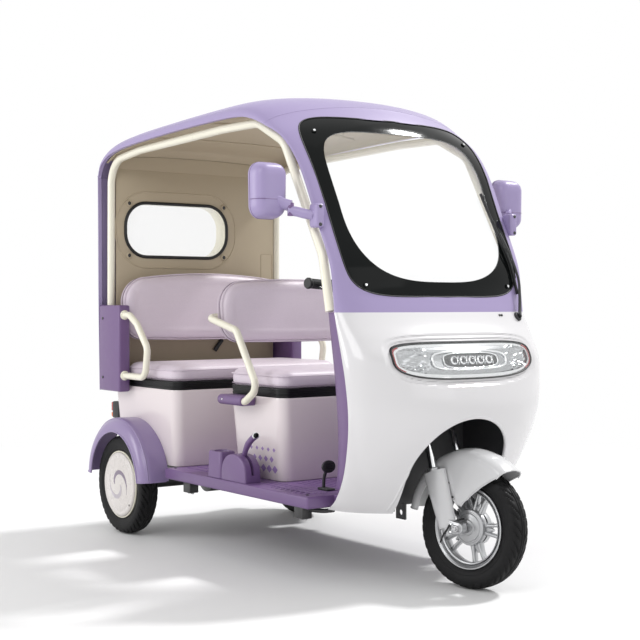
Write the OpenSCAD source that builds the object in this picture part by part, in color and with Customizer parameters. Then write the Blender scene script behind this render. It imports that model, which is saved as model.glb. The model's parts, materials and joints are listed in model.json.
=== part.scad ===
// Covered electric passenger tricycle, open at the sides, in millimetres.
// It faces -Y, its left side is +X and Z is up. The origin is on the ground, under the middle.
// Stations along the vehicle, named ..._y here, are measured back from the front axle.

/* [Layout] */
// Distance from the front axle to the rear axle
wheelbase = 1630; // [1600:5:1680]
// Distance from the rear axle to the tail of the rear mudguards
tail_reach = 262; // [255:1:300]
// Distance between the middles of the two rear tyres
track = 876; // [874:1:900]
// Running gap between panels that meet
panel_gap = 0.4; // [0.3:0.1:0.8]

/* [Wheels] */
// Outer diameter of the tyres
tyre_d = 406; // [396:1:412]
// Width of a tyre
tyre_w = 80; // [72:1:84]
// Diameter of the wheel rims over the flanges
rim_d = 276; // [268:1:284]
// Diameter of the drum hub of the front wheel
front_hub_d = 112; // [90:1:130]
// Number of spoke pairs in the front wheel
spoke_pairs = 5; // [4:1:7]
// Diameter of the wheel axles
axle_d = 14; // [12:1:18]

/* [Steering] */
// Rake of the steering head from upright, in degrees
rake = 21; // [18:1:24]
// Distance of the steering axis behind the front axle, at axle height
head_offset = 32; // [24:1:44]
// Turn of the front wheel to the left as it is parked, in degrees
parked_turn = 10; // [0:1:12]
// Distance between the middles of the fork legs
fork_gap = 148; // [144:1:170]
// Diameter of the fork stanchions
stanchion_d = 27; // [22:1:30]
// Height of the handlebar's grips
bar_z = 998; // [980:1:1015]
// Half the width of the handlebar over the grips
bar_half_w = 380; // [350:1:384]
// Station of the grips behind the front axle
bar_y = 465; // [440:5:480]

/* [Cab shell] */
// Wall of the moulded body panels
shell_wall = 12; // [8:1:16]
// Width of the rim along the open edges of the body panels
edge_wall = 16; // [12:1:22]
// Steps of arc across a body panel
arc_steps = 20; // [16:4:32]
// Squareness of the panels' cross-sections against the tables
panel_square = 1; // [0.9:0.05:1.2]
// Thickness of the windscreen
glass_t = 5; // [4:0.5:8]
// Width of the black band round the windscreen
glass_band = 50; // [30:1:70]

/* [Front wheel arch] */
// Half the width of the arch in the nose
arch_half_w = 213; // [208:1:220]
// Height of the top of the arch
arch_top = 571; // [562:1:584]

/* [Headlamp] */
// Half the width of the headlamp
lamp_half_w = 312; // [300:1:330]
// Height of the line that joins the headlamp's two ends
lamp_z = 775; // [765:1:785]
// Rise of the headlamp above that line
lamp_rise = 52; // [40:1:60]
// Drop of the headlamp below that line
lamp_drop = 72; // [60:1:85]

/* [Side hoops] */
// Diameter of the side hoops
hoop_d = 32; // [28:1:36]
// Distance of a side hoop from the middle of the vehicle
hoop_x = 424; // [420:1:426]
// Diameter of the seat rails
rail_d = 28; // [24:1:32]

/* [Floor] */
// Height of the floor
floor_z = 298; // [290:1:306]
// Depth of the sills below the floor
sill_h = 42; // [36:1:50]
// Half the width of the floor over the sills
floor_half_w = 430; // [420:1:436]

/* [Driver's seat] */
// Front of the driver's seat box at the floor
driver_box_y = 700; // [680:5:720]
// Depth of the driver's seat box at the floor
driver_box_l = 330; // [310:5:340]
// Half the width of the driver's seat box at the floor
driver_box_half_w = 288; // [270:2:300]
// Taper of a seat box, from floor to rim on each side
box_taper = 20; // [10:1:24]
// Height of the rim of the seat boxes
rim_z = 607; // [600:1:615]
// Height of the black seat pans
pan_h = 32; // [24:1:40]
// Height of a seat cushion above its pan
cushion_h = 66; // [50:1:72]
// Wall of the seat boxes
box_wall = 6; // [4:1:10]
// How far the driver's seat tips up, in degrees
driver_lid_open = 48; // [30:1:50]

/* [Rear seat] */
// Front of the rear seat box at the floor
rear_box_y = 1315; // [1300:5:1330]
// Depth of the rear seat box at the floor
rear_box_l = 490; // [470:5:495]
// Clearance between the rear seat box, at the floor, and a rear tyre
rear_box_gap = 14; // [12:1:24]

/* [Rear body] */
// Height of the joint between the roof and the rear wall
rear_joint_z = 1490; // [1480:1:1500]
// Height of the lower edge of the rear wall
rear_foot_z = 584; // [570:2:600]
// Middle of the rear window, to the left of the middle
window_x = -105; // [-120:5:120]
// Half the width of the rear window
window_half_w = 250; // [220:2:260]
// Height of the middle of the rear window
window_z = 1272; // [1250:5:1280]
// Half the height of the rear window
window_half_h = 112; // [100:2:130]

/* [Rear mudguards] */
// Outer radius of the rear mudguards
guard_r = 262; // [256:1:266]
// Distance of the outer lip of a mudguard from the middle
guard_x = 505; // [500:1:512]

/* [Hidden] */
$fn = 64;

wheel_r = tyre_d / 2;
front_axle_y = -(wheelbase + tail_reach - wheel_r) / 2;
edge = 0.02;
rear_box_half_w = track / 2 - tyre_w / 2 - rear_box_gap;
// Station of the back of the rear seat box at its rim, and of the joint of the rear wall
rear_box_back = rear_box_y + rear_box_l;
tail_y = rear_box_back + 33;

lavender = [0.66, 0.58, 0.78];
plum = [0.45, 0.33, 0.60];
ivory = [0.93, 0.90, 0.80];
nose_white = [0.93, 0.91, 0.94];
beige = [0.66, 0.60, 0.53];
blush = [0.88, 0.81, 0.85];
lilac = [0.75, 0.66, 0.76];
black = [0.08, 0.08, 0.09];
silver = [0.75, 0.76, 0.78];

// Body sections. Columns: station of the open edge, its height, half width, lean of the section
// in degrees (0 level, 90 upright, 180 level again behind), bow, squareness (2 is an ellipse)
NOSE = [
    [350, 250, 345, 0, 256, 2.1],
    [284, 293, 360, 0, 200, 2.1],
    [210, 380, 384, 0, 148, 2.1],
    [158, 500, 406, 0, 154, 2.0],
    [138, 600, 420, 0, 160, 2.0],
    [144, 700, 427, 0, 156, 2.15],
    [160, 770, 428, 0, 164, 2.3],
    [178, 830, 427, 0, 138, 2.3],
    [192, 880, 427, 0, 112, 2.15],
    [205, 923, 426, 0, 96, 2.0]];
SCREEN = [
    [205, 923, 426, 0, 96, 2.0],
    [211, 1000, 428, 8, 70, 1.9],
    [228, 1095, 431, 14, 60, 1.8],
    [300, 1247, 436, 21, 58, 1.75],
    [386, 1421, 441, 27, 66, 1.7],
    [474, 1524, 449, 34, 90, 1.7],
    [577, 1578, 456, 44, 118, 1.8]];
ROOF = [
    [577, 1578, 456, 44, 118, 1.8],
    [650, 1606, 461, 62, 106, 2.2],
    [740, 1622, 464, 80, 88, 2.7],
    [900, 1624, 466, 88, 78, 3.0],
    [1200, 1617, 467, 90, 74, 3.0],
    [1525, 1602, 468, 92, 72, 3.0],
    [1710, 1582, 468, 106, 70, 2.8],
    [tail_y - 32, 1544, 468, 136, 60, 2.6],
    [tail_y, rear_joint_z, 468, 166, 50, 2.4]];
REAR = [
    [tail_y, rear_joint_z, 468, 180, 44, 2.4],
    [tail_y, 1300, 467, 180, 42, 2.4],
    [tail_y, 950, 466, 180, 40, 2.4],
    [tail_y, rear_foot_z, 462, 180, 36, 2.4]];
smooth_steps = 2;

// Tyre outline, half of it. Columns: share of the half width, radius from the axle
TYRE = [
    [0.70, rim_d / 2 - 10.5],
    [0.72, rim_d / 2 + 2],
    [0.94, rim_d / 2 + 18],
    [1.00, rim_d / 2 + 34],
    [0.95, wheel_r - 15],
    [0.75, wheel_r - 5],
    [0.40, wheel_r - 0.9],
    [0.00, wheel_r]];

module from_front_axle() {
    translate([0, front_axle_y, 0]) children();
}

module both_sides() {
    children();
    mirror([1, 0, 0]) children();
}

module turned_front() {
    from_front_axle()
        translate([0, head_offset, wheel_r])
            rotate([-rake, 0, 0])
                rotate([0, 0, parked_turn])
                    rotate([rake, 0, 0])
                        translate([0, -head_offset, -wheel_r])
                            children();
}

// Places its child with local Z along the steering axis, from axle height up
module on_steering_axis() {
    translate([0, head_offset, wheel_r]) rotate([-rake, 0, 0]) children();
}

function unit(v) = v / norm(v);
function head_y(z) = head_offset + (z - wheel_r) * tan(rake);

module frame_of(o, x, y, z) {
    multmatrix([
        [x.x, y.x, z.x, o.x],
        [x.y, y.y, z.y, o.y],
        [x.z, y.z, z.z, o.z],
        [0, 0, 0, 1]])
        children();
}

// Stations along a bent route, as pairs of a point and its direction
function route(path, bend, steps) = let (
    last = len(path) - 1,
    dirs = [for (i = [0 : last - 1]) unit(path[i + 1] - path[i])]) [
    [path[0], dirs[0]],
    for (i = [1 : last - 1])
        let (a = dirs[i - 1], n = unit(cross(a, dirs[i])), turn = acos(a * dirs[i]),
             start = path[i] - a * bend * tan(turn / 2), out = -cross(n, a))
            for (k = [0 : steps])
                let (t = turn * k / steps)
                    [start - bend * out + bend * (out * cos(t) + a * sin(t)), a * cos(t) - out * sin(t)],
    [path[last], dirs[last - 1]]];
function carried(stations, side, i = 0) = i >= len(stations) ? [] :
    let (t = stations[i][1], n = unit(side - (side * t) * t))
        concat([n], carried(stations, n, i + 1));

// A tube of straight runs and even bends, as one closed skin
module bent_tube(path, bend, d, sides = 14, steps = 5) {
    stations = route(path, bend, steps);
    side = abs(stations[0][1].x) > 0.9 ? [0, 0, 1] : [1, 0, 0];
    normals = carried(stations, side);
    m = len(stations);
    r = d / 2;
    points = [for (i = [0 : m - 1], k = [0 : sides - 1])
        let (a = 360 * k / sides, n = normals[i])
            stations[i][0] + r * (n * cos(a) + cross(stations[i][1], n) * sin(a))];
    skin = [for (i = [0 : m - 2], k = [0 : sides - 1])
        let (a = i * sides + k, b = i * sides + (k + 1) % sides)
            each [[a, b + sides, b], [a, a + sides, b + sides]]];
    polyhedron(points, concat(skin,
        [[for (k = [0 : sides - 1]) k]],
        [[for (k = [sides - 1 : -1 : 0]) (m - 1) * sides + k]]), convexity = 6);
}

module rod(a, b, d) {
    z = unit(b - a);
    side = abs(z.x) > 0.9 ? [0, 0, 1] : [1, 0, 0];
    x = unit(cross(side, z));
    frame_of(a, x, cross(z, x), z) cylinder(d = d, h = norm(b - a));
}

module round_rect(size, r) {
    square([size.x - 2 * r, size.y], center = true);
    square([size.x, size.y - 2 * r], center = true);
    for (sx = [-1, 1], sy = [-1, 1])
        translate([sx * (size.x / 2 - r), sy * (size.y / 2 - r)]) circle(r);
}

module round_slab(size, r) {
    linear_extrude(size.z) round_rect(size, r);
}

// Curve through the rows of a section table, four neighbours at a time
function blend_row(a, b, c, d, t) =
    b + t * ((c - a) / 2 + t * ((2 * a - 5 * b + 4 * c - d) / 2 + t * (3 * b - a - 3 * c + d) / 2));
function smooth_rows(rows) = let (last = len(rows) - 1) [
    for (i = [0 : last - 1], s = [0 : smooth_steps - 1])
        blend_row(rows[max(i - 1, 0)], rows[i], rows[i + 1], rows[min(i + 2, last)],
            s / smooth_steps),
    rows[last]];

function section(row, inset, sink) = let (power = 2 / (panel_square * row[5])) [
    for (i = [0 : arc_steps])
        let (a = 180 * i / arc_steps - 90,
             h = (row[4] - sink) * pow(abs(cos(a)), power),
             x = (row[2] - inset) * sign(a) * pow(abs(sin(a)), power))
            [x, row[0] - h * cos(row[3]), row[1] + h * sin(row[3])]];
function turned_back(list) = [for (i = [len(list) - 1 : -1 : 0]) list[i]];

// A sheet through a list of sections, between an outer and an inner offset.
// Each offset is [inset from the sides, sink below the crown]
module panel(rows, outer, inner) {
    rings = [for (row = rows)
        concat(section(row, outer[0], outer[1]), turned_back(section(row, inner[0], inner[1])))];
    n = len(rings[0]);
    m = len(rings);
    skin = [for (i = [0 : m - 2], j = [0 : n - 1])
        let (k = (j + 1) % n)
            each [[i * n + j, (i + 1) * n + k, i * n + k], [i * n + j, (i + 1) * n + j, (i + 1) * n + k]]];
    half = n / 2;
    caps = [for (j = [0 : half - 2])
        let (a = j, b = j + 1, c = n - 2 - j, d = n - 1 - j, e = (m - 1) * n)
            each [[a, b, c], [a, c, d], [e + a, e + c, e + b], [e + a, e + d, e + c]]];
    polyhedron([for (r = rings) each r], concat(skin, caps), convexity = 8);
}

function curve_xz(half_w, up, down, n_up, n_down, z, steps) = [
    for (i = [0 : steps - 1])
        let (a = 360 * i / steps, s = sin(a), c = cos(a), n = s >= 0 ? n_up : n_down)
            [half_w * sign(c) * pow(abs(c), 2 / n),
             z + (s >= 0 ? up * pow(s, 2 / n) : -down * pow(-s, 2 / n))]];

// A prism along Y whose outline is given in X and Z
module prism_y(points, y0, y1) {
    translate([0, y1, 0]) rotate([90, 0, 0]) linear_extrude(y1 - y0) polygon(points);
}

module lamp_outline(grow, y0, y1) {
    prism_y(curve_xz(lamp_half_w + grow, lamp_rise + grow, lamp_drop + grow, 4.5, 3, lamp_z, 48),
        y0, y1);
}

screen_z = 1290;
screen_half_w = 394;
screen_up = 318;
screen_down = 314;
screen_flare = 0.045;
// Widens an outline evenly from its middle to its top
function flared(points) = [for (p = points)
    [p.x * (1 + screen_flare * max(p.y - screen_z, 0) / screen_up), p.y]];
module screen_outline(shrink, y0, y1) {
    prism_y(flared(curve_xz(screen_half_w - shrink, screen_up - shrink, screen_down - shrink,
        7, 6, screen_z, 48)), y0, y1);
}
module clear_outline(grow, y0, y1) {
    prism_y(flared(curve_xz(screen_half_w - glass_band + grow, screen_up - glass_band + grow,
        screen_down - glass_band + grow, 5, 3, screen_z, 48)), y0, y1);
}

arch_spring_z = 385;
arch_flare = 30;
module arch_cut(grow, y0, y1) {
    half = arch_half_w + grow;
    rise = arch_top - arch_spring_z + grow;
    prism_y(concat([[half + arch_flare, 0]],
        [for (a = [0 : 7.5 : 180]) [half * cos(a), arch_spring_z + rise * sin(a)]],
        [[-half - arch_flare, 0]]), y0, y1);
}

nose_rows = smooth_rows(NOSE);
lamp_rows = [for (row = nose_rows) if (row[1] > 660 && row[1] < 860) row];
mirror_rows = [for (row = smooth_rows(SCREEN)) if (row[1] > 1050 && row[1] < 1450) row];
screen_rows = smooth_rows(SCREEN);
roof_rows = smooth_rows(ROOF);

module front_shell() {
    color(nose_white) from_front_axle() {
        difference() {
            panel(nose_rows, [0, 0], [edge_wall, shell_wall]);
            arch_cut(0, -200, 420);
            lamp_outline(0, -200, 160);
            intersection() {
                panel(lamp_rows, [-4, -4], [5, 5]);
                difference() {
                    lamp_outline(28, -200, 160);
                    lamp_outline(16, -201, 161);
                }
            }
        }
    }
}

module screen_surround() {
    color(lavender) from_front_axle()
        translate([0, 0, panel_gap])
            difference() {
                panel(screen_rows, [0, 0], [edge_wall, shell_wall]);
                screen_outline(0, 0, 640);
            }
}

module windscreen() {
    color([0.85, 0.90, 0.92, 0.4]) from_front_axle()
        translate([0, 0, panel_gap])
            intersection() {
                panel(screen_rows, [1, 1], [1 + glass_t, 1 + glass_t]);
                clear_outline(-panel_gap / 2, 0, 640);
            }
}

module windscreen_band() {
    color(black) from_front_axle()
        translate([0, 0, panel_gap])
            difference() {
                intersection() {
                    panel(screen_rows, [1, 1], [1 + glass_t, 1 + glass_t]);
                    screen_outline(panel_gap, 0, 640);
                }
                clear_outline(panel_gap / 2, -1, 641);
            }
}

module roof() {
    color(lavender) from_front_axle()
        translate([0, panel_gap, panel_gap + 0.2])
            panel(roof_rows, [0, 0], [edge_wall, shell_wall]);
}

module roof_liner() {
    liner_rows = [for (row = ROOF) if (row[0] > 600 && row[0] < 1700) row];
    color(beige) from_front_axle()
        translate([0, panel_gap, panel_gap + 0.2]) {
            panel(smooth_rows(liner_rows), [edge_wall + 4, shell_wall + 1], [edge_wall + 10, shell_wall + 9]);
        }
}

module window_outline(grow, y0, y1) {
    r = 96;
    translate([window_x, y1, window_z]) rotate([90, 0, 0])
        linear_extrude(y1 - y0)
            round_rect([2 * (window_half_w + grow), 2 * (window_half_h + grow)], r + grow);
}

module rear_wall() {
    color(lavender) from_front_axle()
        difference() {
            translate([0, 0, -panel_gap]) panel(REAR, [0, 0], [edge_wall, shell_wall]);
            window_outline(12, 1700, 1900);
        }
}

liner_y = tail_y - 42;
liner_t = 8;
liner_top_z = 1528;
module rear_liner() {
    color(beige) from_front_axle()
        difference() {
            translate([-(hoop_x - 20), liner_y, rim_z + panel_gap])
                cube([2 * (hoop_x - 20), liner_t, liner_top_z - rim_z - panel_gap]);
            window_outline(12, 1700, 1900);
        }
}

module window_seal() {
    color(black) from_front_axle()
        difference() {
            window_outline(12 - panel_gap, liner_y - 3, 1884);
            window_outline(0, 1700, 1900);
        }
}

module rear_window() {
    color([0.85, 0.90, 0.92, 0.4]) from_front_axle()
        window_outline(-panel_gap, liner_y + 20, liner_y + 25);
}

// Route of a side hoop. Columns: station, height
HOOP = [
    [tail_y - 32, 946.4],
    [tail_y - 38, 1556],
    [1540, 1582],
    [900, 1598],
    [660, 1594],
    [496, 1512],
    [270, 1112],
    [230, 926.8]];
module hoops() {
    color(ivory) from_front_axle() both_sides()
        bent_tube([for (p = HOOP) [-hoop_x, p[0], p[1]]], 110, hoop_d);
}

post_y = 1650;
post_inner = rear_box_half_w + box_taper + 10;
module rear_posts() {
    color(plum) from_front_axle() both_sides()
        translate([-466, post_y, rear_foot_z])
            cube([466 - post_inner, REAR[0][0] - panel_gap - post_y, HOOP[0][1] - panel_gap - rear_foot_z]);
}

module box_form(y0, length, half_w, grow, z0, z1) {
    run = rim_z - floor_z;
    function taper(z) = box_taper * (z - floor_z) / run;
    hull()
        for (z = [z0, z1])
            translate([0, y0 + length / 2, z])
                linear_extrude(edge)
                    offset(r = 60 + grow, $fn = 32)
                        square([2 * (half_w + taper(z) - 60), length + 2 * (taper(z) - 60)], center = true);
}

module seat_box(y0, length, half_w) {
    difference() {
        box_form(y0, length, half_w, 0, floor_z + panel_gap, rim_z - edge);
        box_form(y0, length, half_w, -box_wall, floor_z + box_wall, rim_z + 1);
    }
}

// Hinges of the seat lids. The barrels lie behind the pan, on the axis
barrel_d = 12;
hinge_set = 8;
lid_barrel_x = 100;
lid_barrel_l = 39.5;
box_barrel_x = 140;
box_barrel_l = 30;
rear_lid_cut = 110;
driver_hinge_y = driver_box_y + driver_box_l + box_taper + hinge_set;
rear_hinge_y = rear_box_back - rear_lid_cut + box_taper + hinge_set;
module barrel(x, y, length) {
    translate([x, y, rim_z + panel_gap]) rotate([0, 90, 0]) cylinder(d = barrel_d, h = length);
}
module lid_barrels(y) {
    both_sides() {
        barrel(lid_barrel_x, y, lid_barrel_l);
        translate([lid_barrel_x, y - hinge_set - 6, rim_z + panel_gap])
            cube([lid_barrel_l, hinge_set + 6, barrel_d / 2]);
    }
}
module box_barrels(y, tab_y) {
    both_sides() {
        barrel(box_barrel_x, y, box_barrel_l);
        translate([box_barrel_x, tab_y, rim_z - 10]) cube([box_barrel_l, 13, 10]);
    }
}

module driver_seat_box() {
    color(blush) from_front_axle() {
        seat_box(driver_box_y, driver_box_l, driver_box_half_w);
        box_barrels(driver_hinge_y, driver_hinge_y - 13);
    }
}
module rear_seat_box() {
    color(blush) from_front_axle() {
        seat_box(rear_box_y, rear_box_l, rear_box_half_w);
        intersection() {
            box_form(rear_box_y, rear_box_l, rear_box_half_w, -1, floor_z + panel_gap, rim_z - edge);
            translate([-500, rear_hinge_y + hinge_set, rim_z - 10]) cube([1000, 200, 20]);
        }
        box_barrels(rear_hinge_y, rear_hinge_y);
    }
}

module seat_pan(y0, length, half_w) {
    w = 2 * (half_w + box_taper);
    l = length + 2 * box_taper;
    translate([0, y0 + length / 2, rim_z + panel_gap])
        round_slab([w, l, pan_h], 60);
}
module seat_cushion(y0, length, half_w) {
    w = 2 * (half_w + box_taper);
    l = length + 2 * box_taper;
    translate([0, y0 + length / 2, rim_z + 2 * panel_gap + pan_h])
        hull() {
            round_slab([w, l, 2], 60, $fn = 32);
            translate([0, 0, cushion_h - 22]) round_slab([w + 8, l + 8, 2], 60, $fn = 32);
            translate([0, 0, cushion_h - 2]) round_slab([w - 40, l - 40, 2], 50, $fn = 32);
        }
}
module driver_pan() {
    color(black) from_front_axle() {
        seat_pan(driver_box_y, driver_box_l, driver_box_half_w);
        lid_barrels(driver_hinge_y);
    }
}
module driver_cushion() {
    color(lilac) from_front_axle() seat_cushion(driver_box_y, driver_box_l, driver_box_half_w);
}
module rear_pan() {
    color(black) from_front_axle() {
        seat_pan(rear_box_y, rear_box_l - rear_lid_cut, rear_box_half_w);
        lid_barrels(rear_hinge_y);
    }
}
module rear_cushion() {
    color(lilac) from_front_axle()
        seat_cushion(rear_box_y, rear_box_l - rear_lid_cut, rear_box_half_w);
}

// A backrest pad standing on its lower edge, leaning back
module backrest_pad(half_w, height, thick, lean) {
    skin = 12;
    rotate([-lean, 0, 0])
        translate([0, 0, height / 2])
            rotate([-90, 0, 0])
                hull() {
                    round_slab([2 * half_w - 30, height - 30, skin], 80, $fn = 32);
                    translate([0, 0, thick / 2 - skin / 2])
                        round_slab([2 * half_w, height, skin], 95, $fn = 32);
                    translate([0, 0, thick - skin])
                        round_slab([2 * half_w - 10, height - 10, skin], 90, $fn = 32);
                }
}
module driver_backrest() {
    color(lilac) from_front_axle()
        translate([0, driver_rod_y - 87.8, rim_z + 199]) backrest_pad(335, 245, 62, 6);
}
module rear_backrest() {
    color(lilac) from_front_axle()
        translate([0, post_y + 26, rim_z + 193]) backrest_pad(post_inner - 0.3, 286, 62, 5);
}

// Routes of the seat rails. Columns: x, station, height
driver_rod_y = 1111.8;
DRIVER_RAIL = [
    [-250, driver_rod_y, 900],
    [-362, driver_rod_y, 900],
    [-362, 905, 852],
    [-362, 760, 640],
    [-362, 845, 588],
    [-362, 900, 588]];
REAR_RAIL = [
    [-441, post_y - panel_gap, 905],
    [-441, 1605, 905],
    [-441, 1540, 868],
    [-441, 1450, 770],
    [-441, 1470, 652],
    [-441, post_y - panel_gap, 652]];
module driver_rails() {
    color(ivory) from_front_axle() {
        both_sides() bent_tube(DRIVER_RAIL, 40, rail_d);
        rod([-252, driver_rod_y, 900], [252, driver_rod_y, 900], rail_d);
    }
}
module rail_brackets() {
    color(plum) from_front_axle() both_sides()
        difference() {
            translate([-380, 850, 572]) cube([75, 160, 36]);
            box_form(driver_box_y, driver_box_l, driver_box_half_w, 0.3, floor_z, rim_z + 4);
            translate([-362, 840, 588]) rotate([-90, 0, 0]) cylinder(d = rail_d + 1.2, h = 61);
        }
}
module rear_rails() {
    color(ivory) from_front_axle() both_sides()
        bent_tube(REAR_RAIL, 45, rail_d);
}

floor_front_y = 300;
module floor() {
    rib_h = 2.5;
    front_y = floor_front_y;
    main_y = NOSE[0][0] + 2;
    tongue_half = 330;
    back_y = rear_box_y + 15;
    color(plum) from_front_axle() {
        difference() {
            union() {
                translate([-floor_half_w, main_y, floor_z - sill_h])
                    cube([2 * floor_half_w, back_y - main_y, sill_h]);
                translate([-tongue_half, front_y, floor_z - sill_h])
                    cube([2 * tongue_half, main_y + 20 - front_y, sill_h]);
            }
            panel([for (row = nose_rows) if (row[1] < 400) row],
                [-panel_gap, -panel_gap], [edge_wall + panel_gap, shell_wall + panel_gap]);
            translate([-31, front_y + 10, 0]) cube([62, 34, 400]);
            translate([-floor_half_w + 8, main_y + 8, floor_z - sill_h - 1])
                cube([2 * floor_half_w - 16, back_y - main_y, sill_h - 9]);
            translate([-tongue_half + 20, front_y + 8, floor_z - sill_h - 1])
                cube([2 * tongue_half - 40, 60, sill_h - 9]);
        }
        for (x = [-240 : 40 : 240])
            translate([x - 8, 430, floor_z - 1]) cube([16, driver_box_y - 460, 1 + rib_h]);
        for (x = [-330 : 60 : 330])
            translate([x - 12, 1070, floor_z - 1]) cube([24, rear_box_y - 1095, 1 + rib_h]);
    }
}

rail_half = 190;
// Columns of the tie-down eyes and of the holes for a rear carrier
eye_z = 205;
eye_d = 22;
carrier_holes = 240;
carrier_hole_d = 11;
spring_x = 270;
spring_half = 230;
leaf_t = 7;
axle_tube_d = 56;
spring_top_z = wheel_r + axle_tube_d / 2 + panel_gap + 4 * leaf_t;
module frame() {
    beam_w = 40;
    beam_h = 50;
    beam_z = floor_z - 10.4 - beam_h;
    back_y = wheelbase + spring_half;
    rear_eye_y = wheelbase + wheel_r + 25;
    cross_z = beam_z + 5;
    cross_h = beam_h - 10;
    eye_w = 8;
    post_front_y = 314;
    color(black) from_front_axle() {
        difference() {
            union() {
                both_sides()
                    translate([-rail_half - beam_w, 330, beam_z])
                        cube([beam_w, back_y - 330, beam_h]);
                for (y = [330, 620, 980, 1290, 1440, back_y - 40])
                    translate([-rail_half - 1, y, cross_z])
                        cube([2 * rail_half + 2, 40, cross_h]);
                for (y = [420, 1180])
                    translate([-floor_half_w + 30, y, cross_z])
                        cube([2 * (floor_half_w - 30), 40, cross_h]);
                for (y = [wheelbase - spring_half, wheelbase + spring_half - 30])
                    translate([-spring_x - 50, y, spring_top_z + panel_gap])
                        cube([2 * spring_x + 100, 30, beam_z + beam_h - spring_top_z - panel_gap]);
                translate([-eye_w / 2, 350, eye_z - 24]) cube([eye_w, 50, beam_z + 44 - eye_z]);
                translate([-eye_w / 2, back_y - 40, eye_z - 24]) {
                    cube([eye_w, 40, beam_z + 44 - eye_z]);
                    cube([eye_w, rear_eye_y + 60 - back_y, 48]);
                }
            }
            for (s = [-1, 1])
                translate([s * carrier_holes / 2, back_y - 50, cross_z + cross_h / 2])
                    rotate([-90, 0, 0]) cylinder(d = carrier_hole_d, h = 60);
            for (y = [375, rear_eye_y])
                translate([-20, y, eye_z]) rotate([0, 90, 0]) cylinder(d = eye_d, h = 40);
        }
        difference() {
            union() {
                on_steering_axis() translate([0, 0, 440]) cylinder(d = 56, h = 170);
                translate([-22, head_y(672), 650]) cube([44, 342 - head_y(672), 44]);
                translate([-30, post_front_y, cross_z]) cube([60, 28, 694 - cross_z]);
            }
            on_steering_axis() translate([0, 0, 430]) cylinder(d = 34, h = 190);
        }
    }
}

module arch_liner() {
    sheet = 5;
    half = arch_half_w + 6;
    back_y = floor_front_y - panel_gap;
    top_z = arch_top + 38;
    low_z = floor_z - sill_h;
    color(black) from_front_axle()
        difference() {
            translate([-half, 0, 0]) rotate([90, 0, 90])
                linear_extrude(2 * half)
                    polygon([[150, low_z], [back_y, low_z], [back_y, top_z - 60], [back_y - 60, top_z],
                        [28, top_z], [50, 500], [106, 380], [142, 300]]);
            translate([-half + sheet, -10, 0]) rotate([90, 0, 90])
                linear_extrude(2 * (half - sheet))
                    polygon([[0, low_z - 1], [back_y - sheet, low_z - 1], [back_y - sheet, top_z - 62],
                        [back_y - 62, top_z - sheet], [0, top_z - sheet]]);
            on_steering_axis() translate([0, 0, 300]) cylinder(d = 64, h = 200);
        }
}

module inner_fairing() {
    back_y = 362;
    rows = [for (row = nose_rows) if (row[1] > floor_z)
        [row[0] + panel_gap, row[1], row[2], 180, max(back_y - row[0], 62), 2.3]];
    top = nose_rows[len(nose_rows) - 1];
    front_edge = section(top, edge_wall + 1, shell_wall + 1);
    rear_edge = section(rows[len(rows) - 1], 6, 4);
    color(plum) from_front_axle() {
        panel(turned_back(rows), [0, 0], [edge_wall, 8]);
        translate([0, 0, top[1] - 8])
            difference() {
                linear_extrude(8)
                    polygon([for (p = concat(front_edge, turned_back(rear_edge))) [p.x, p.y]]);
                translate([-50, head_y(923) - 55, -1]) cube([100, 110, 10]);
            }
    }
}

module headlamp() {
    color(silver) from_front_axle()
        intersection() {
            panel(lamp_rows, [14, 14], [44, 40]);
            lamp_outline(-panel_gap, -200, 160);
        }
}
module headlamp_lens() {
    color([0.9, 0.92, 0.94, 0.5]) from_front_axle()
        intersection() {
            panel(lamp_rows, [2, 2], [13, 13]);
            lamp_outline(-panel_gap, -200, 160);
        }
}

module tail_lamps() {
    color([0.55, 0.05, 0.06]) from_front_axle() both_sides()
        difference() {
            translate([-rear_box_half_w - 14, rear_box_back - 15, 460]) cube([60, 76, 72]);
            box_form(rear_box_y, rear_box_l, rear_box_half_w, 0.3, floor_z, rim_z);
        }
}

module rear_mudguards() {
    inner_x = rear_box_half_w - 12;
    color(plum) from_front_axle() both_sides()
        difference() {
            translate([-guard_x, wheelbase, 218]) rotate([90, 0, 90])
                linear_extrude(guard_x - inner_x)
                    difference() {
                        circle(guard_r);
                        circle(guard_r - 6);
                        translate([-300, -600]) square([600, 618]);
                    }
            box_form(rear_box_y, rear_box_l, rear_box_half_w, 0.4, floor_z - 30, rim_z);
        }
}

module rear_axle() {
    motor_d = 150;
    color(black) from_front_axle()
        translate([0, wheelbase, wheel_r]) rotate([0, 90, 0]) {
            cylinder(d = axle_tube_d, h = track - 92, center = true);
            cylinder(d = axle_d, h = track + 60, center = true);
            translate([0, 0, -60]) cylinder(d = 130, h = 120);
            translate([0, 20, 60]) cylinder(d = motor_d, h = 120);
        }
}

module leaf_springs() {
    color(black) from_front_axle() both_sides()
        for (i = [0 : 3])
            translate([-spring_x - 50, wheelbase - spring_half + 45 * i, spring_top_z - (i + 1) * leaf_t])
                cube([50, 2 * spring_half - 90 * i, leaf_t]);
}

module battery() {
    color(black) from_front_axle()
        translate([-240, rear_box_y + 65, floor_z + box_wall + 0.3]) cube([480, 300, 160]);
}

module mirrors() {
    color(lavender) from_front_axle() both_sides() {
        difference() {
            translate([-462, 262, 1216]) cube([44, 44, 60]);
            panel(mirror_rows, [-panel_gap, -panel_gap], [60, 60]);
        }
        rod([-455, 290, 1246], [-500, 345, 1262], 22);
        rod([-500, 345, 1262], [-545, 395, 1300], 20);
        translate([-556, 432, 1331]) rotate([90, 0, 0]) round_slab([120, 190, 46], 40);
    }
}
module mirror_glasses() {
    color(silver) from_front_axle() both_sides()
        translate([-556, 432.4, 1331]) rotate([-90, 0, 0]) round_slab([106, 176, 3], 34);
}

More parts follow.
